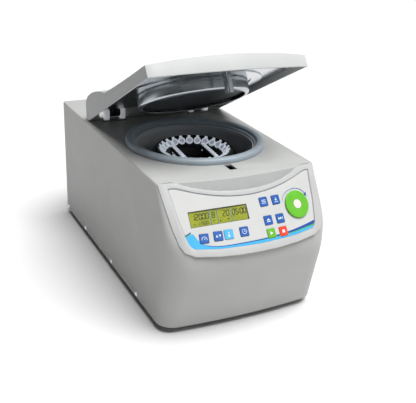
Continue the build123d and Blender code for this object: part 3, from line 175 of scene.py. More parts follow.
MAT = {
    "casing_paint": material("paint_warm_grey", *pair(173, 174, 172, 2), 0.5, 0.06, scale=14, bump=0.10, bump_scale=1500, specular=0.4),
    "lid_paint": material("paint_lid", *pair(185, 187, 186, 2), 0.46, 0.06, scale=14, bump=0.10, bump_scale=1500, specular=0.4),
    # lid sides: a darker copy of the lid paint, painted shade on the sides that face away from the light
    "lid_side_painted_shade": material("lid_flank_painted_shade", *pair(158, 159, 160, 2), 0.5, 0.06, scale=14, bump=0.10, bump_scale=1500, specular=0.4),
    "bezel": material("plastic_light_grey", *pair(176, 177, 176, 2), 0.42, 0.05, scale=30, bump=0.06, bump_scale=2200),
    "overlay": material("film_white", *pair(189, 190, 188, 2), 0.38, 0.06, scale=25, bump=0.03, bump_scale=2600),
    # finger scoop: a darker grey than the bezel, painted shade on the recessed, steeper facet
    "crescent_painted_shade": material("scoop_painted_shade_grey", *pair(156, 158, 157, 2), 0.5, 0.05, scale=20, bump=0.08, bump_scale=1800),
    "window": material("display_cover", srgb(210, 215, 190), srgb(225, 230, 205), 0.12, 0.03, scale=40, alpha=0.03),
    # olive display with a faint glow (emission 0.16): painted light that keeps it bright behind its cover
    "lcd": material("display_olive_painted_glow", *pair(132, 138, 6, 7), 0.75, 0.06, scale=60, emission=0.16, specular=0.1),
    "lcd_line": material("display_divider", *pair(60, 104, 132, 5), 0.5, 0.04, scale=90),
    # dark olive rim colour of the display: painted shade at the display's border under its cover
    "lcd_edge_painted_shade": material("display_edge_painted_shade", *pair(72, 76, 24, 5), 0.5, 0.04, scale=90),
    "segment": material("display_segments", srgb(14, 20, 8), srgb(24, 30, 12), 0.7, 0.04, scale=90, specular=0.1),
    "key_blue": material("key_blue", *pair(30, 84, 158, 5), 0.36, 0.06, scale=90, bump=0.05, bump_scale=2400),
    "key_light_blue": material("key_light_blue", *pair(70, 170, 216, 4), 0.36, 0.06, scale=90, bump=0.05, bump_scale=2400),
    "key_green": material("key_green", *pair(98, 168, 40, 5), 0.36, 0.06, scale=90, bump=0.05, bump_scale=2400),
    "key_red": material("key_red", *pair(222, 66, 40, 5), 0.36, 0.06, scale=90, bump=0.05, bump_scale=2400),
    "dial_green": material("dial_green", *pair(94, 174, 40, 4), 0.4, 0.06, scale=70, bump=0.06, bump_scale=2600),
    "button": material("button_offwhite", *pair(212, 208, 198, 4), 0.35, 0.05, scale=60, bump=0.04, bump_scale=2600),
    "ink_blue": material("ink_blue", *pair(30, 74, 150, 4), 0.4, 0.04, scale=60),
    "ink_cyan": material("ink_cyan", *pair(58, 164, 216, 4), 0.4, 0.04, scale=60),
    "ink_green": material("ink_green", *pair(80, 160, 54, 4), 0.4, 0.04, scale=60),
    "ink_grey": material("ink_grey", *pair(120, 122, 140, 5), 0.45, 0.04, scale=60),
    "ink_white": material("ink_white", *pair(206, 214, 224, 4), 0.4, 0.04, scale=60),
    "gasket": material("rubber_blue_grey", *pair(156, 168, 177, 5), 0.46, 0.08, scale=45, bump=0.16, bump_scale=1300, sheen=0.15),
    "seal": material("rubber_dark", *pair(40, 42, 45, 5), 0.6, 0.08, scale=60, bump=0.2, bump_scale=1200),
    "foot": material("rubber_black", *pair(34, 35, 36, 5), 0.7, 0.08, scale=60, bump=0.25, bump_scale=1100),
    "bowl": material("bowl_steel", *pair(214, 219, 224, 7), 0.55, 0.08, metallic=0.1, scale=9, stretch=(1, 1, 30), bump=0.03, bump_scale=500),
    "stainless": material("steel_brushed", *pair(150, 152, 154, 8), 0.26, 0.08, metallic=1.0, scale=10, stretch=(1, 1, 40), bump=0.03, bump_scale=400),
    "polished": material("steel_polished", *pair(180, 185, 189, 6), 0.24, 0.05, metallic=1.0, scale=35, bump=0.015, bump_scale=90),
    # nickel that glows (emission 0.34): painted highlight standing in for chrome reflections where the parts sit in
    # the lid's shade
    "painted_glow": material("nickel_painted_glow", *pair(214, 218, 222, 6), 0.16, 0.04, metallic=0.35, scale=80, bump=0.01, bump_scale=300, coat=0.4, emission=0.34),
    "chrome": material("chrome", *pair(222, 225, 228, 6), 0.07, 0.03, metallic=1.0, scale=80, bump=0.01, bump_scale=300),
    "zinc": material("zinc_plate", *pair(166, 168, 166, 9), 0.38, 0.09, metallic=1.0, scale=70, bump=0.05, bump_scale=700),
    "black": material("plastic_black", *pair(26, 27, 29, 4), 0.42, 0.07, scale=60, bump=0.12, bump_scale=1700),
    "rotor": material("anodised_black", *pair(30, 31, 33, 5), 0.36, 0.07, metallic=0.55, scale=30, stretch=(1, 1, 12), bump=0.04, bump_scale=700),
    # tubes and cap wells glow (emission): painted light standing in for light through the plastic in the shade under
    # the lid
    "tube": material("tube_translucent_painted_glow", *pair(226, 234, 244, 6), 0.30, 0.06, scale=130, bump=0.04, bump_scale=1500, subsurface=0.3, emission=0.40),
    "tube_well": material("tube_cap_well_painted_glow", *pair(206, 214, 228, 8), 0.4, 0.06, scale=130, bump=0.04, bump_scale=1500, emission=0.21),
    "crease": material("crease_line", *pair(172, 173, 172, 3), 0.6, 0.05, scale=40),
    "foam": material("foam_insulation", *pair(58, 58, 56, 8), 0.9, 0.05, scale=120, bump=0.4, bump_scale=800),
    "board": material("circuit_green", *pair(26, 84, 52, 8), 0.45, 0.08, scale=220, bump=0.1, bump_scale=900),
    "copper": material("copper_pipe", *pair(190, 118, 82, 10), 0.3, 0.08, metallic=1.0, scale=60),
    "compressor": material("enamel_black", *pair(30, 30, 31, 4), 0.35, 0.06, scale=40, bump=0.1, bump_scale=900),
    "fins": material("fin_aluminium", *pair(172, 174, 176, 9), 0.42, 0.08, metallic=1.0, scale=140, bump=0.1, bump_scale=500),
    "motor": material("motor_enamel", *pair(88, 92, 96, 6), 0.42, 0.07, scale=50, bump=0.08, bump_scale=1200),
    "pan_mirror": material("steel_pan", *pair(186, 190, 194, 6), 0.16, 0.05, metallic=1.0, scale=35, bump=0.015, bump_scale=90),
    "pad": material("underside_dark", *pair(44, 47, 50, 4), 0.42, 0.07, scale=35, bump=0.10, bump_scale=1100, specular=0.5),
    "dark": material("slot_shadow", *pair(14, 14, 18, 3), 0.8, 0.05, scale=60),
}

# side screws, hinge brackets and hinge pins take the glowing nickel, a painted highlight
FINISH = {
    "housing": "casing_paint", "base_pan": "zinc", "rubber_feet": "foot", "side_screws": "painted_glow", "rear_panel": "casing_paint",
    "rear_screws": "zinc", "power_inlet": "black", "inlet_pins": "chrome", "power_rocker": "black", "fan_shroud": "black",
    "fan_rotor": "black", "control_bezel": "bezel", "membrane_overlay": "overlay", "lcd_window": "window", "lcd_module": "lcd",
    "control_pcb": "board", "key_switches": "black", "key_speed": "key_blue", "key_accel": "key_blue", "key_temp": "key_light_blue",
    "key_time": "key_blue", "key_program": "key_blue", "key_save": "key_blue", "key_open": "key_blue", "key_short": "key_blue",
    "key_start": "key_green", "key_stop": "key_red", "dial": "dial_green", "dial_button": "button", "chamber_gasket": "gasket",
    "chamber_bowl": "bowl", "shaft_seal": "seal", "evaporator_coil": "copper", "insulation_shell": "foam", "motor_plate": "zinc",
    "motor_dampers": "seal", "motor_body": "motor", "drive_shaft": "chrome", "rotor_body": "rotor", "rotor_nut": "stainless",
    "sample_tubes": "tube", "tube_strips": "tube", "compressor": "compressor", "compressor_grommets": "seal", "condenser": "fins",
    "filter_drier": "copper", "refrigerant_lines": "copper", "power_board": "board", "latch_housing": "black", "latch_bolt": "zinc",
    "latch_solenoid": "zinc", "hinge_brackets": "painted_glow", "hinge_pins": "painted_glow", "lid_shell": "lid_paint", "lid_pan": "pan_mirror",
    "lid_drum": "polished", "drum_pad": "pad", "lid_striker": "polished", "hinge_arms": "black", "lid_screws": "zinc",
}


def paint(obj, m):
    if not obj.material_slots:
        obj.data.materials.append(m)
    for slot in obj.material_slots:
        slot.material = m


for name, obj in NODES.items():
    paint(obj, MAT[FINISH[name]])


# ---------------------------------------------------------------- mesh helpers
def add_object(name, me, mats, body):
    obj = bpy.data.objects.new(name, me)
    bpy.context.scene.collection.objects.link(obj)
    for m in mats:
        obj.data.materials.append(m)
    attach(obj, body)
    return obj


def apply_modifiers(obj):
    """Keep the modified mesh as the object's own mesh."""
    bpy.context.view_layer.update()
    deps = bpy.context.evaluated_depsgraph_get()
    me = bpy.data.meshes.new_from_object(obj.evaluated_get(deps), preserve_all_data_layers=True, depsgraph=deps)
    obj.modifiers.clear()
    obj.data = me


def soften(node, body, width, angle=38.0, segments=3, mats=None, choose=None):
    """A copy of a node with its edges rounded, shown in its place."""
    me = NODES[node].data.copy()
    me.materials.clear()
    bm = bmesh.new()
    bm.from_mesh(me)
    bmesh.ops.remove_doubles(bm, verts=bm.verts, dist=1.5e-6)
    bmesh.ops.dissolve_limit(bm, angle_limit=math.radians(0.4), verts=bm.verts, edges=bm.edges, delimit={"NORMAL"})
    for f in bm.faces:
        f.smooth = True
        f.material_index = choose(f) if choose else 0
    bm.to_mesh(me)
    bm.free()
    obj = add_object("soft_" + node, me, mats or [MAT[FINISH[node]]], body)
    bevel = obj.modifiers.new("round", "BEVEL")
    bevel.width = width * MM
    bevel.segments = segments
    bevel.limit_method = "ANGLE"
    bevel.angle_limit = math.radians(angle)
    bevel.use_clamp_overlap = True
    bevel.harden_normals = True
    bevel.miter_outer = "MITER_ARC"
    apply_modifiers(obj)
    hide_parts(node)
    return obj


def plate(name, polys, place, z0, z1, m, body, step=None):
    """Thin closed solid over 2-D outlines, from height z0 to z1, put in place by a function of (a, b, height)."""
    bm = bmesh.new()
    for poly in polys:
        if isinstance(poly, tuple):
            left, right = poly
            lv = [bm.verts.new((a, b, 0.0)) for a, b in left]
            rv = [bm.verts.new((a, b, 0.0)) for a, b in right]
            for i in range(len(lv) - 1):
                bm.faces.new((lv[i], lv[i + 1], rv[i + 1], rv[i]))
        else:
            bm.faces.new([bm.verts.new((a, b, 0.0)) for a, b in poly])
    bmesh.ops.remove_doubles(bm, verts=bm.verts, dist=1e-4)
    bmesh.ops.triangulate(bm, faces=bm.faces[:], ngon_method="EAR_CLIP")
    if step:
        lo = min(v.co.x for v in bm.verts)
        hi = max(v.co.x for v in bm.verts)
        x = math.ceil(lo / step) * step
        while x < hi:
            bmesh.ops.bisect_plane(bm, geom=bm.verts[:] + bm.edges[:] + bm.faces[:], plane_co=(x, 0, 0), plane_no=(1, 0, 0))
            x += step
    base = bm.faces[:]
    out = bmesh.ops.extrude_face_region(bm, geom=base)
    moved = {v for v in out["geom"] if isinstance(v, bmesh.types.BMVert)}
    for v in bm.verts:
        v.co.z = z1 if v in moved else z0
    bmesh.ops.recalc_face_normals(bm, faces=bm.faces[:])
    for v in bm.verts:
        v.co = place(v.co.x, v.co.y, v.co.z) * MM
    bmesh.ops.recalc_face_normals(bm, faces=bm.faces[:])
    me = bpy.data.meshes.new(name)
    bm.to_mesh(me)
    bm.free()
    return add_object(name, me, [m], body)


def smooth_path(points, per=8, closed=False):
    """Catmull-Rom curve through the points."""
    n = len(points)
    out = []
    for i in range(n if closed else n - 1):
        p0 = points[(i - 1) % n] if closed or i > 0 else points[0]
        p1 = points[i]
        p2 = points[(i + 1) % n]
        p3 = points[(i + 2) % n] if closed or i + 2 < n else points[-1]
        for k in range(per):
            t = k / per
            out.append(tuple(0.5 * (2 * b + (c - a) * t + (2 * a - 5 * b + 4 * c - d) * t**2 + (3 * b - a - 3 * c + d) * t**3)
                             for a, b, c, d in zip(p0, p1, p2, p3)))
    if not closed:
        out.append(tuple(points[-1]))
    return out


def ribbon(path, width, shift=0.0, closed=False):
    """Two sides of a line of a given width along a path; width may be a list."""
    n = len(path)
    left, right = [], []
    for i, (a, b) in enumerate(path):
        p = path[i - 1] if i or closed else path[i]
        q = path[(i + 1) % n] if closed or i + 1 < n else path[i]
        dx, dy = q[0] - p[0], q[1] - p[1]
        d = math.hypot(dx, dy) or 1.0
        nx, ny = -dy / d, dx / d
        w = width[i] if isinstance(width, list) else width
        left.append((a + nx * (shift + w / 2), b + ny * (shift + w / 2)))
        right.append((a + nx * (shift - w / 2), b + ny * (shift - w / 2)))
    if closed:
        left.append(left[0])
        right.append(right[0])
    return (left, right)


def rect(cx, cy, w, h):
    return [(cx - w / 2, cy - h / 2), (cx + w / 2, cy - h / 2), (cx + w / 2, cy + h / 2), (cx - w / 2, cy + h / 2)]


def disc(cx, cy, r, n=28):
    return [(cx + r * math.cos(2 * math.pi * k / n), cy + r * math.sin(2 * math.pi * k / n)) for k in range(n)]


def arc(cx, cy, r, a0, a1, n=24):
    return [(cx + r * math.cos(math.radians(a0 + (a1 - a0) * k / n)), cy + r * math.sin(math.radians(a0 + (a1 - a0) * k / n)))
            for k in range(n + 1)]


def on_bow(x, s, z):
    return panel_point(x, s, z)


# ---------------------------------------------------------------- casing, lid and bezel with rounded edges
soften("housing", "base", 0.8, angle=34)
# lid faces turned sideways (|normal x| > 0.9) take the darker copy of the lid paint: painted shade on the lid's sides
soften("lid_shell", "lid", 1.5, angle=34, segments=4, mats=[MAT["lid_paint"], MAT["lid_side_painted_shade"]], choose=lambda f: 1 if abs(f.normal.x) > 0.9 else 0)
soften("chamber_gasket", "base", 0.7, angle=30)
soften("hinge_arms", "lid", 0.7, angle=40)
soften("rear_panel", "base", 0.5, angle=40, segments=2)
# upper blocks of the hinge brackets take the glowing nickel (painted highlight); the lower plates are plain zinc
soften("hinge_brackets", "base", 0.4, angle=34, mats=[MAT["painted_glow"], MAT["zinc"]], choose=lambda f: 1 if f.calc_center_median().z < 0.2392 else 0)


def scoop(face):
    """1 on the finger scoop above the overlay, which is set back at a steeper angle; these faces take a darker grey
    that is painted shade.
    """
    c = face.calc_center_median() / MM
    n = face.normal
    return 1 if abs(c.x) < 106 and c.z > H - 26 and n.y < -0.5 and 0.34 < n.z < 0.52 else 0


# the scoop faces get the darker grey: painted shade in the recess
soften("control_bezel", "base", 0.9, angle=30, segments=4, mats=[MAT["bezel"], MAT["crescent_painted_shade"]], choose=scoop)

# bowed crease across the top, in front of the gasket
crease = smooth_path([(-132.5, -158.5), (-90, -161.6), (-45, -164.4), (0, -165.4), (45, -164.4), (90, -161.6), (132.5, -158.5)], 6)
plate("top_crease", [ribbon([q for q in crease if abs(q[0]) > 9.0 and q[0] < 0], 0.55), ribbon([q for q in crease if q[0] > 9.0], 0.55)],
      lambda a, b, z: Vector((a, b, H + z)), -0.05, 0.02, MAT["crease"], "base")

# ---------------------------------------------------------------- overlay print
SIDE = [(-119.6, 9.5), (-117.4, 26), (-114.4, 56), (-109.8, 80), (-106.4, 93.5), (-99.6, 100.3),
        (-64, 103.2), (0, 104.2), (64, 103.2), (99.6, 100.3), (106.4, 93.5), (109.8, 80),
        (114.4, 56), (117.4, 26), (119.6, 9.5)]
TOP = [(111, 8.8), (90, 14.6), (63, 21.6), (35, 26.4), (0, 28.6), (-35, 26.4), (-63, 21.6), (-90, 14.6), (-111, 8.8)]
PRINT0, PRINT1 = 0.42, 0.56
top_line = smooth_path([(119.0, 9.4)] + TOP + [(-119.0, 9.4)], 6)
plate("overlay_rim_top", [ribbon(top_line, 0.75, shift=-0.7)], on_bow, PRINT0, PRINT1, MAT["ink_grey"], "base", step=3.0)
side_line = [(x * 0.993, 56 + (s - 56) * 0.988) for x, s in SIDE]
plate("overlay_rim_sides", [ribbon(side_line[:5], 0.5), ribbon(side_line[-5:], 0.5)], on_bow, PRINT0, PRINT1, MAT["ink_grey"], "base", step=3.0)

# tri-colour stripe along the foot of the overlay, as columns between its upper and lower lines
def at(x, table):
    for (x0, v0), (x1, v1) in zip(table, table[1:]):
        if x <= x1:
            return v0 + (v1 - v0) * max(0.0, (x - x0) / (x1 - x0))
    return table[-1][1]


STRIPE_TOP = smooth_path([(-91.8, 87.2), (-87.6, 92.2), (-79, 95.9), (-60, 98.6), (-27, 98.3), (11, 97.4), (53, 95.0), (80, 92.2), (108.0, 88.4)], 6)
FOOT = [(-109.7, 80.4), (-109.0, 83.2), (-106.0, 93.2), (-104.5, 95.3), (-101.5, 98.3), (-99.2, 99.7), (-64, 102.7), (0, 103.7), (64, 102.7), (99.2, 99.7), (101.5, 98.3),
        (104.5, 95.3), (106.0, 93.2), (107.6, 88.4)]
BLUE_W = [(-92, 0.0), (-84, 0.9), (-60, 1.3), (-27, 1.5), (11, 1.9), (53, 2.9), (80, 3.9), (108, 5.2)]
GREEN_W = [(-30, 0.0), (-10, 0.05), (11, 0.3), (53, 1.0), (80, 1.5), (108, 2.1)]
START = [(-109.7, 82.0), (-101.0, 78.0), (-97.2, 77.2), (-95.6, 80.4), (-93.8, 84.2), (-91.8, 87.4)]


HOLE = 7.5


def key_cut(x):
    """How far down the slope the key holes reach at x, for keys that the stripe passes."""
    return max([s + HOLE for kx, s in KEYS.values() if abs(x - kx) < HOLE and s > 85.0], default=0.0)


def columns(x0, x1, upper, lower, step=0.8):
    """Strips between two lines, with the key holes left out."""
    n = max(2, int((x1 - x0) / step))
    xs = [x0 + (x1 - x0) * k / n for k in range(n + 1)]
    for kx, s in KEYS.values():
        for e in (-HOLE - 0.01, -HOLE + 0.01, HOLE - 0.01, HOLE + 0.01):
            if s > 85.0 and x0 < kx + e < x1:
                xs.append(kx + e)
    strips, up, low = [], [], []
    for x in sorted(xs):
        u, v = max(upper(x), key_cut(x)), lower(x)
        if v - u > 0.03:
            up.append((x, u))
            low.append((x, v))
        else:
            if len(up) > 1:
                strips.append((up, low))
            up, low = [], []
    if len(up) > 1:
        strips.append((up, low))
    return strips


def blue_foot(x):
    return min(at(x, STRIPE_TOP) + at(x, BLUE_W), at(x, FOOT))


def green_foot(x):
    return min(at(x, STRIPE_TOP) + at(x, BLUE_W) + at(x, GREEN_W), at(x, FOOT))


plate("stripe_blue", columns(-91.8, 107.4, lambda x: at(x, STRIPE_TOP), blue_foot), on_bow, PRINT0, PRINT1, MAT["ink_blue"], "base")
plate("stripe_green", columns(-26, 105.6, blue_foot, green_foot), on_bow, PRINT0, PRINT1, MAT["ink_green"], "base")
plate("stripe_cyan", columns(-109.6, -91.8, lambda x: at(x, START), lambda x: at(x, FOOT), 0.4)
      + columns(-91.8, 104.2, green_foot, lambda x: at(x, FOOT)), on_bow, PRINT0, PRINT1, MAT["ink_cyan"], "base")
plate("stripe_start_blue", columns(-109.9, -100.4, lambda x: at(x, [(-109.9, 78.9), (-100.4, 74.3)]),
                                    lambda x: at(x, [(-109.9, 80.7), (-100.4, 76.2)])), on_bow, PRINT0, PRINT1, MAT["ink_blue"], "base")
plate("stripe_start_green", columns(-109.8, -100.2, lambda x: at(x, [(-109.8, 80.7), (-100.2, 76.2)]),
                                     lambda x: at(x, [(-109.8, 81.9), (-100.2, 77.5)])), on_bow, PRINT0, PRINT1, MAT["ink_green"], "base")

# turning arrow above the dial
sweep_arc = smooth_path([(56.2, 48.5), (58.6, 42.6), (64.5, 37.2), (73.0, 33.8), (81.5, 32.9), (90.5, 35.0), (97.5, 39.8), (101.2, 44.2)], 5)
widths = [0.5 + 0.9 * k / (len(sweep_arc) - 1) for k in range(len(sweep_arc))]
plate("turn_arrow", [ribbon(sweep_arc, widths), [(98.6, 46.0), (104.2, 42.6), (103.6, 50.2)]], on_bow, PRINT0, PRINT1, MAT["ink_blue"], "base", step=3.0)

# ---------------------------------------------------------------- display
LCD_RIM = [(-98.5, 45.2), (-6.2, 42.2), (-6.2, 65.6), (-98.5, 69.0)]
lo_, lt, lu, ln = panel_frame(-52.3, 55.5)
corner = []
for x, s in LCD_RIM:
    d = panel_point(x, s) - lo_
    corner.append((d.dot(lt), d.dot(lu)))


def lcd_place(a, b, z):
    """Point of the display, a from 0 to 1 across and b from 0 to 1 down."""
    top = [corner[0][k] + (corner[1][k] - corner[0][k]) * a for k in (0, 1)]
    low = [corner[3][k] + (corner[2][k] - corner[3][k]) * a for k in (0, 1)]
    u = [top[k] + (low[k] - top[k]) * b for k in (0, 1)]
    return lo_ + lt * u[0] + lu * u[1] + ln * z


LCD_W = corner[1][0] - corner[0][0]
LCD_H = abs(corner[0][1] - corner[3][1])
SEGMENTS = {"0": "abcdef", "1": "bc", "2": "abged", "3": "abgcd", "4": "fgbc", "5": "afgcd", "6": "afgedc", "7": "abc", "8": "abcdefg",
            "9": "abcdfg"}


def digit(n, x, y, w, h, t, lean=0.10):
    """Seven-segment numeral with its top left corner at x, y, in display units; y runs down."""
    half = h / 2
    spots = {"a": (0, 0, w, 0), "b": (w, 0, w, half), "c": (w, half, w, h), "d": (0, h, w, h), "e": (0, half, 0, h), "f": (0, 0, 0, half),
             "g": (0, half, w, half)}
    out = []
    for k in SEGMENTS[n]:
        x0, y0, x1, y1 = spots[k]
        dx, dy = x1 - x0, y1 - y0
        length = math.hypot(dx, dy)
        ux, uy = dx / length, dy / length
        g = t * 0.12
        a, b = g, length - g
        pts = [(a, 0), (a + t / 2, t / 2), (b - t / 2, t / 2), (b, 0), (b - t / 2, -t / 2), (a + t / 2, -t / 2)]
        poly = []
        for q, v in pts:
            px = x0 + ux * q - uy * v
            py = y0 + uy * q + ux * v
            px += (h - py) * lean
            poly.append(((x + px) / LCD_W, (y + py) / LCD_H))
        out.append(poly)
    return out


def row(text, x, y, w, h, t, pitch):
    out = []
    for ch in text:
        if ch == ":":
            for dy in (0.3, 0.7):
                out.append([((a) / LCD_W, (b) / LCD_H) for a, b in rect(x + 0.1 * w, y + dy * h, t * 1.1, t * 1.1)])
            x += pitch * 0.42
        elif ch == " ":
            x += pitch
        else:
            out += digit(ch, x, y, w, h, t)
            x += pitch
    return out


marks = row("12000", 5.0, 4.6, 3.8, 8.6, 1.35, 5.4)
marks += row("8", 36.0, 4.6, 3.8, 8.6, 1.35, 5.4)
marks += row("20", 53.2, 4.6, 3.8, 8.6, 1.35, 5.6)
marks += row("05:00", 68.2, 4.6, 3.8, 8.6, 1.35, 5.2)
marks += row("11500", 12.6, 16.2, 2.3, 4.8, 0.85, 3.5)
marks += [[(a / LCD_W, b / LCD_H) for a, b in rect(7.6, 18.8, 3.0, 0.8)], [(a / LCD_W, b / LCD_H) for a, b in rect(38.2, 17.0, 4.6, 0.8)],
          [(a / LCD_W, b / LCD_H) for a, b in rect(48.0, 19.0, 1.8, 1.6)], [(a / LCD_W, b / LCD_H) for a, b in rect(60.5, 18.0, 2.0, 2.0)]]
plate("display_numerals", marks, lcd_place, -2.72, -2.62, MAT["segment"], "base")
lines = []
for a in (0.357, 0.478, 0.712):
    w = 0.62 / LCD_W
    lines.append([(a - w, 0.0), (a + w, 0.0), (a + w + 0.002, 1.0), (a - w + 0.002, 1.0)])
plate("display_dividers", lines, lcd_place, -2.72, -2.60, MAT["lcd_line"], "base")
# dark frame along the display's border: painted shade
e1, e2 = 1.5 / LCD_W, 1.5 / LCD_H
plate("display_edge_painted_shade", [[(0, 0), (1, 0), (1, e2), (0, e2)], [(0, 1 - e2 * 0.7), (1, 1 - e2 * 0.7), (1, 1), (0, 1)], [(0, 0), (e1, 0), (e1, 1), (0, 1)],
                       [(1 - e1, 0), (1, 0), (1, 1), (1 - e1, 1)]], lcd_place, -2.72, -2.61, MAT["lcd_edge_painted_shade"], "base")

# ---------------------------------------------------------------- key symbols
ICONS = {
    "key_speed": [ribbon(arc(0, -1.4, 3.9, 195, -15), 0.8), [(-0.7, -1.4), (0.6, -1.9), (2.2, 1.6)]],
    "key_accel": [[(-4.2, -1.8), (-0.6, -1.8), (-2.4, 2.2)], [(0.6, 2.0), (4.2, 2.0), (2.4, -2.0)]],
    "key_temp": [rect(0, 1.2, 1.2, 5.2), disc(0, -2.4, 1.6)],
    "key_time": [ribbon(arc(0, 0, 3.5, 0, 360, 32)[:-1], 0.7, closed=True), rect(0, 1.2, 0.6, 2.4), rect(0.95, -0.1, 2.3, 0.6)],
    "key_program": [rect(0, 2.3, 7.0, 0.9), rect(0, 0, 7.0, 0.9), rect(0, -2.3, 7.0, 0.9)],
    "key_save": [rect(0, 1.9, 1.1, 3.0), [(-2.2, 0.6), (2.2, 0.6), (0, -1.9)], rect(0, -3.2, 6.4, 0.9)],
    "key_open": [[(-3.2, -0.6), (3.2, -0.6), (0, 2.8)], rect(0, -2.2, 6.4, 1.1)],
    "key_short": [[(-4.0, -2.2), (-4.0, 2.2), (-0.6, 0)], [(-0.5, -2.2), (-0.5, 2.2), (2.9, 0)], rect(3.7, 0, 0.9, 4.4)],
    "key_start": [[(-2.2, -2.8), (-2.2, 2.8), (3.0, 0)]],
    "key_stop": [rect(0, 0, 4.6, 4.6)],
}
for key, shapes in ICONS.items():
    ko, kt, ku, kn = panel_frame(*KEYS[key])
    plate("symbol_" + key, shapes, lambda a, b, z, ko=ko, kt=kt, ku=ku, kn=kn: ko + kt * a + ku * b + kn * z, 1.5, 1.65, MAT["ink_white"], key)


# ---------------------------------------------------------------- tubes with recessed caps
def lathe(bm, profile, frames, material_of, n=28):
    """Turn a closed (r, z) profile about each frame's axis."""
    for o, a, b, c in frames:
        rings = []
        for r, z in profile:
            if r < 1e-6:
                rings.append([bm.verts.new((o + c * z) * MM)])
            else:
                rings.append([bm.verts.new((o + (a * math.cos(2 * math.pi * k / n) + b * math.sin(2 * math.pi * k / n)) * r + c * z) * MM)
                              for k in range(n)])
        for i, (p, q) in enumerate(zip(rings, rings[1:])):
            for k in range(n):
                k2 = (k + 1) % n
                if len(p) == 1 and len(q) == 1:
                    continue
                if len(p) == 1:
                    f = bm.faces.new((p[0], q[k], q[k2]))
                elif len(q) == 1:
                    f = bm.faces.new((p[k], q[0], p[k2]))
                else:
                    f = bm.faces.new((p[k], q[k], q[k2], p[k2]))
                f.material_index = material_of(i)
                f.smooth = True


TUBE_RING, SEAT_Z = 55.0, 219.5
tube_frames = []
for k in range(24):
    phi = math.radians(15.0 * k + 14.5)
    c, d = math.cos(phi), math.sin(phi)
    q = math.sqrt(0.5)
    axis = Vector((-c * q, -d * q, q))
    outward = Vector((c * q, d * q, q))
    tube_frames.append((Vector((ROT_X + TUBE_RING * c, ROT_Y + TUBE_RING * d, SEAT_Z)), outward, axis.cross(outward), axis))
CAP = [(0.0, 3.0), (4.1, 3.0), (4.35, 3.15), (4.5, 3.8), (4.8, 4.1), (5.7, 4.1), (6.15, 3.95), (6.4, 3.6), (6.4, 1.0), (6.1, 0.75),
       (5.4, 0.7), (5.4, -18.0), (2.8, -35.6), (1.6, -36.6), (0.0, -37.0)]
bm = bmesh.new()
lathe(bm, CAP, tube_frames, lambda i: 1 if i < 2 else 0)
bmesh.ops.recalc_face_normals(bm, faces=bm.faces[:])
me = bpy.data.meshes.new("tubes_and_caps")
bm.to_mesh(me)
bm.free()
me.shade_smooth()
tubes = add_object("tubes_and_caps", me, [MAT["tube"], MAT["tube_well"]], "rotor")
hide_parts("sample_tubes")
bm = bmesh.new()
for o, a, b, c in tube_frames:
    pts = [(5.9, -2.2), (8.9, -2.6), (9.7, -1.7), (9.7, 1.7), (8.9, 2.6), (5.9, 2.2)]
    low = [bm.verts.new((o + a * x + b * y + c * 1.9) * MM) for x, y in pts]
    high = [bm.verts.new((o + a * x + b * y + c * 3.3) * MM) for x, y in pts]
    bm.faces.new(low[::-1])
    bm.faces.new(high)
    for k in range(len(pts)):
        k2 = (k + 1) % len(pts)
        bm.faces.new((low[k], low[k2], high[k2], high[k]))
bmesh.ops.recalc_face_normals(bm, faces=bm.faces[:])
me = bpy.data.meshes.new("tube_lips")
bm.to_mesh(me)
bm.free()
add_object("tube_lips", me, [MAT["tube"]], "rotor")

# ---------------------------------------------------------------- floor, lights, camera
sc = bpy.context.scene
sc.view_settings.view_transform = "Standard"
sc.view_settings.look = "None"

floor_mat = material("floor_pale", srgb(220, 220, 220), srgb(224, 224, 224), 0.6, 0.05, scale=3, specular=0.2)
bm = bmesh.new()
FLOOR = 14.0
corners = [bm.verts.new((x, y, 0.0)) for x, y in ((-FLOOR, -FLOOR), (FLOOR, -FLOOR), (FLOOR, FLOOR), (-FLOOR, FLOOR))]
bm.faces.new(corners)
me = bpy.data.meshes.new("studio_floor")
bm.to_mesh(me)
bm.free()
floor = bpy.data.objects.new("studio_floor", me)
sc.collection.objects.link(floor)
floor.data.materials.append(floor_mat)

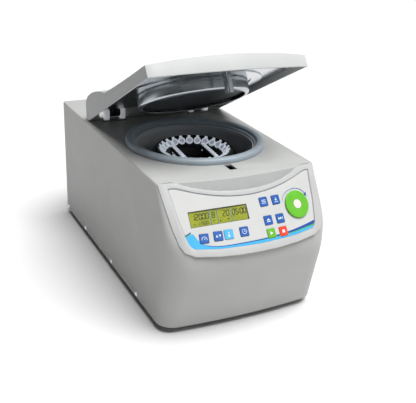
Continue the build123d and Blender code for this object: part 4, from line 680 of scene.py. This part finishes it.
# soft room: bright overhead and to the front right, dim low down and to the left
world = bpy.data.worlds.new("studio")
sc.world = world
world.use_nodes = True
wt = world.node_tree
wt.nodes.clear()
w_out = wt.nodes.new("ShaderNodeOutputWorld")
w_bg = wt.nodes.new("ShaderNodeBackground")
w_tc = wt.nodes.new("ShaderNodeTexCoord")
w_dot = wt.nodes.new("ShaderNodeVectorMath")
w_dot.operation = "DOT_PRODUCT"
w_dot.inputs[1].default_value = Vector((0.42, -0.30, 0.86)).normalized()
w_ramp = wt.nodes.new("ShaderNodeValToRGB")
w_ramp.color_ramp.elements[0].position = 0.0
w_ramp.color_ramp.elements[0].color = (0.02, 0.02, 0.02, 1)
w_ramp.color_ramp.elements[1].position = 1.0
w_ramp.color_ramp.elements[1].color = (0.95, 0.95, 0.95, 1)
mid = w_ramp.color_ramp.elements.new(0.35)
mid.color = (0.12, 0.12, 0.125, 1)
wt.links.new(w_tc.outputs["Generated"], w_dot.inputs[0])
wt.links.new(w_dot.outputs["Value"], w_ramp.inputs[0])
wt.links.new(w_ramp.outputs[0], w_bg.inputs[0])
w_bg.inputs[1].default_value = 0.55
wt.links.new(w_bg.outputs[0], w_out.inputs[0])

sun = bpy.data.lights.new("sun", "SUN")
sun.energy = 4.4
sun.angle = math.radians(44)
sun_obj = bpy.data.objects.new("sun", sun)
sc.collection.objects.link(sun_obj)
sun_obj.rotation_mode = "QUATERNION"
sun_obj.rotation_quaternion = Vector((-0.17, 0.25, -0.95)).to_track_quat("-Z", "Y")

cam_data = bpy.data.cameras.new("camera")
cam_data.sensor_width = 36.0
cam_data.lens = 61.33
cam_data.clip_start, cam_data.clip_end = 0.05, 50.0
cam = bpy.data.objects.new("camera", cam_data)
sc.collection.objects.link(cam)
az, el, roll = math.radians(-26.97), math.radians(23.10), math.radians(2.39)
back = Vector((math.sin(az) * math.cos(el), -math.cos(az) * math.cos(el), math.sin(el)))
right = (-back).cross(Vector((0, 0, 1))).normalized()
up = right.cross(-back)
r2 = right * math.cos(roll) + up * math.sin(roll)
u2 = up * math.cos(roll) - right * math.sin(roll)
cam.matrix_world = Matrix.Translation(Vector((-493.7, -1067.3, 614.2)) * MM) @ Matrix((
    (r2.x, u2.x, back.x, 0), (r2.y, u2.y, back.y, 0), (r2.z, u2.z, back.z, 0), (0, 0, 0, 1)))
sc.camera = cam
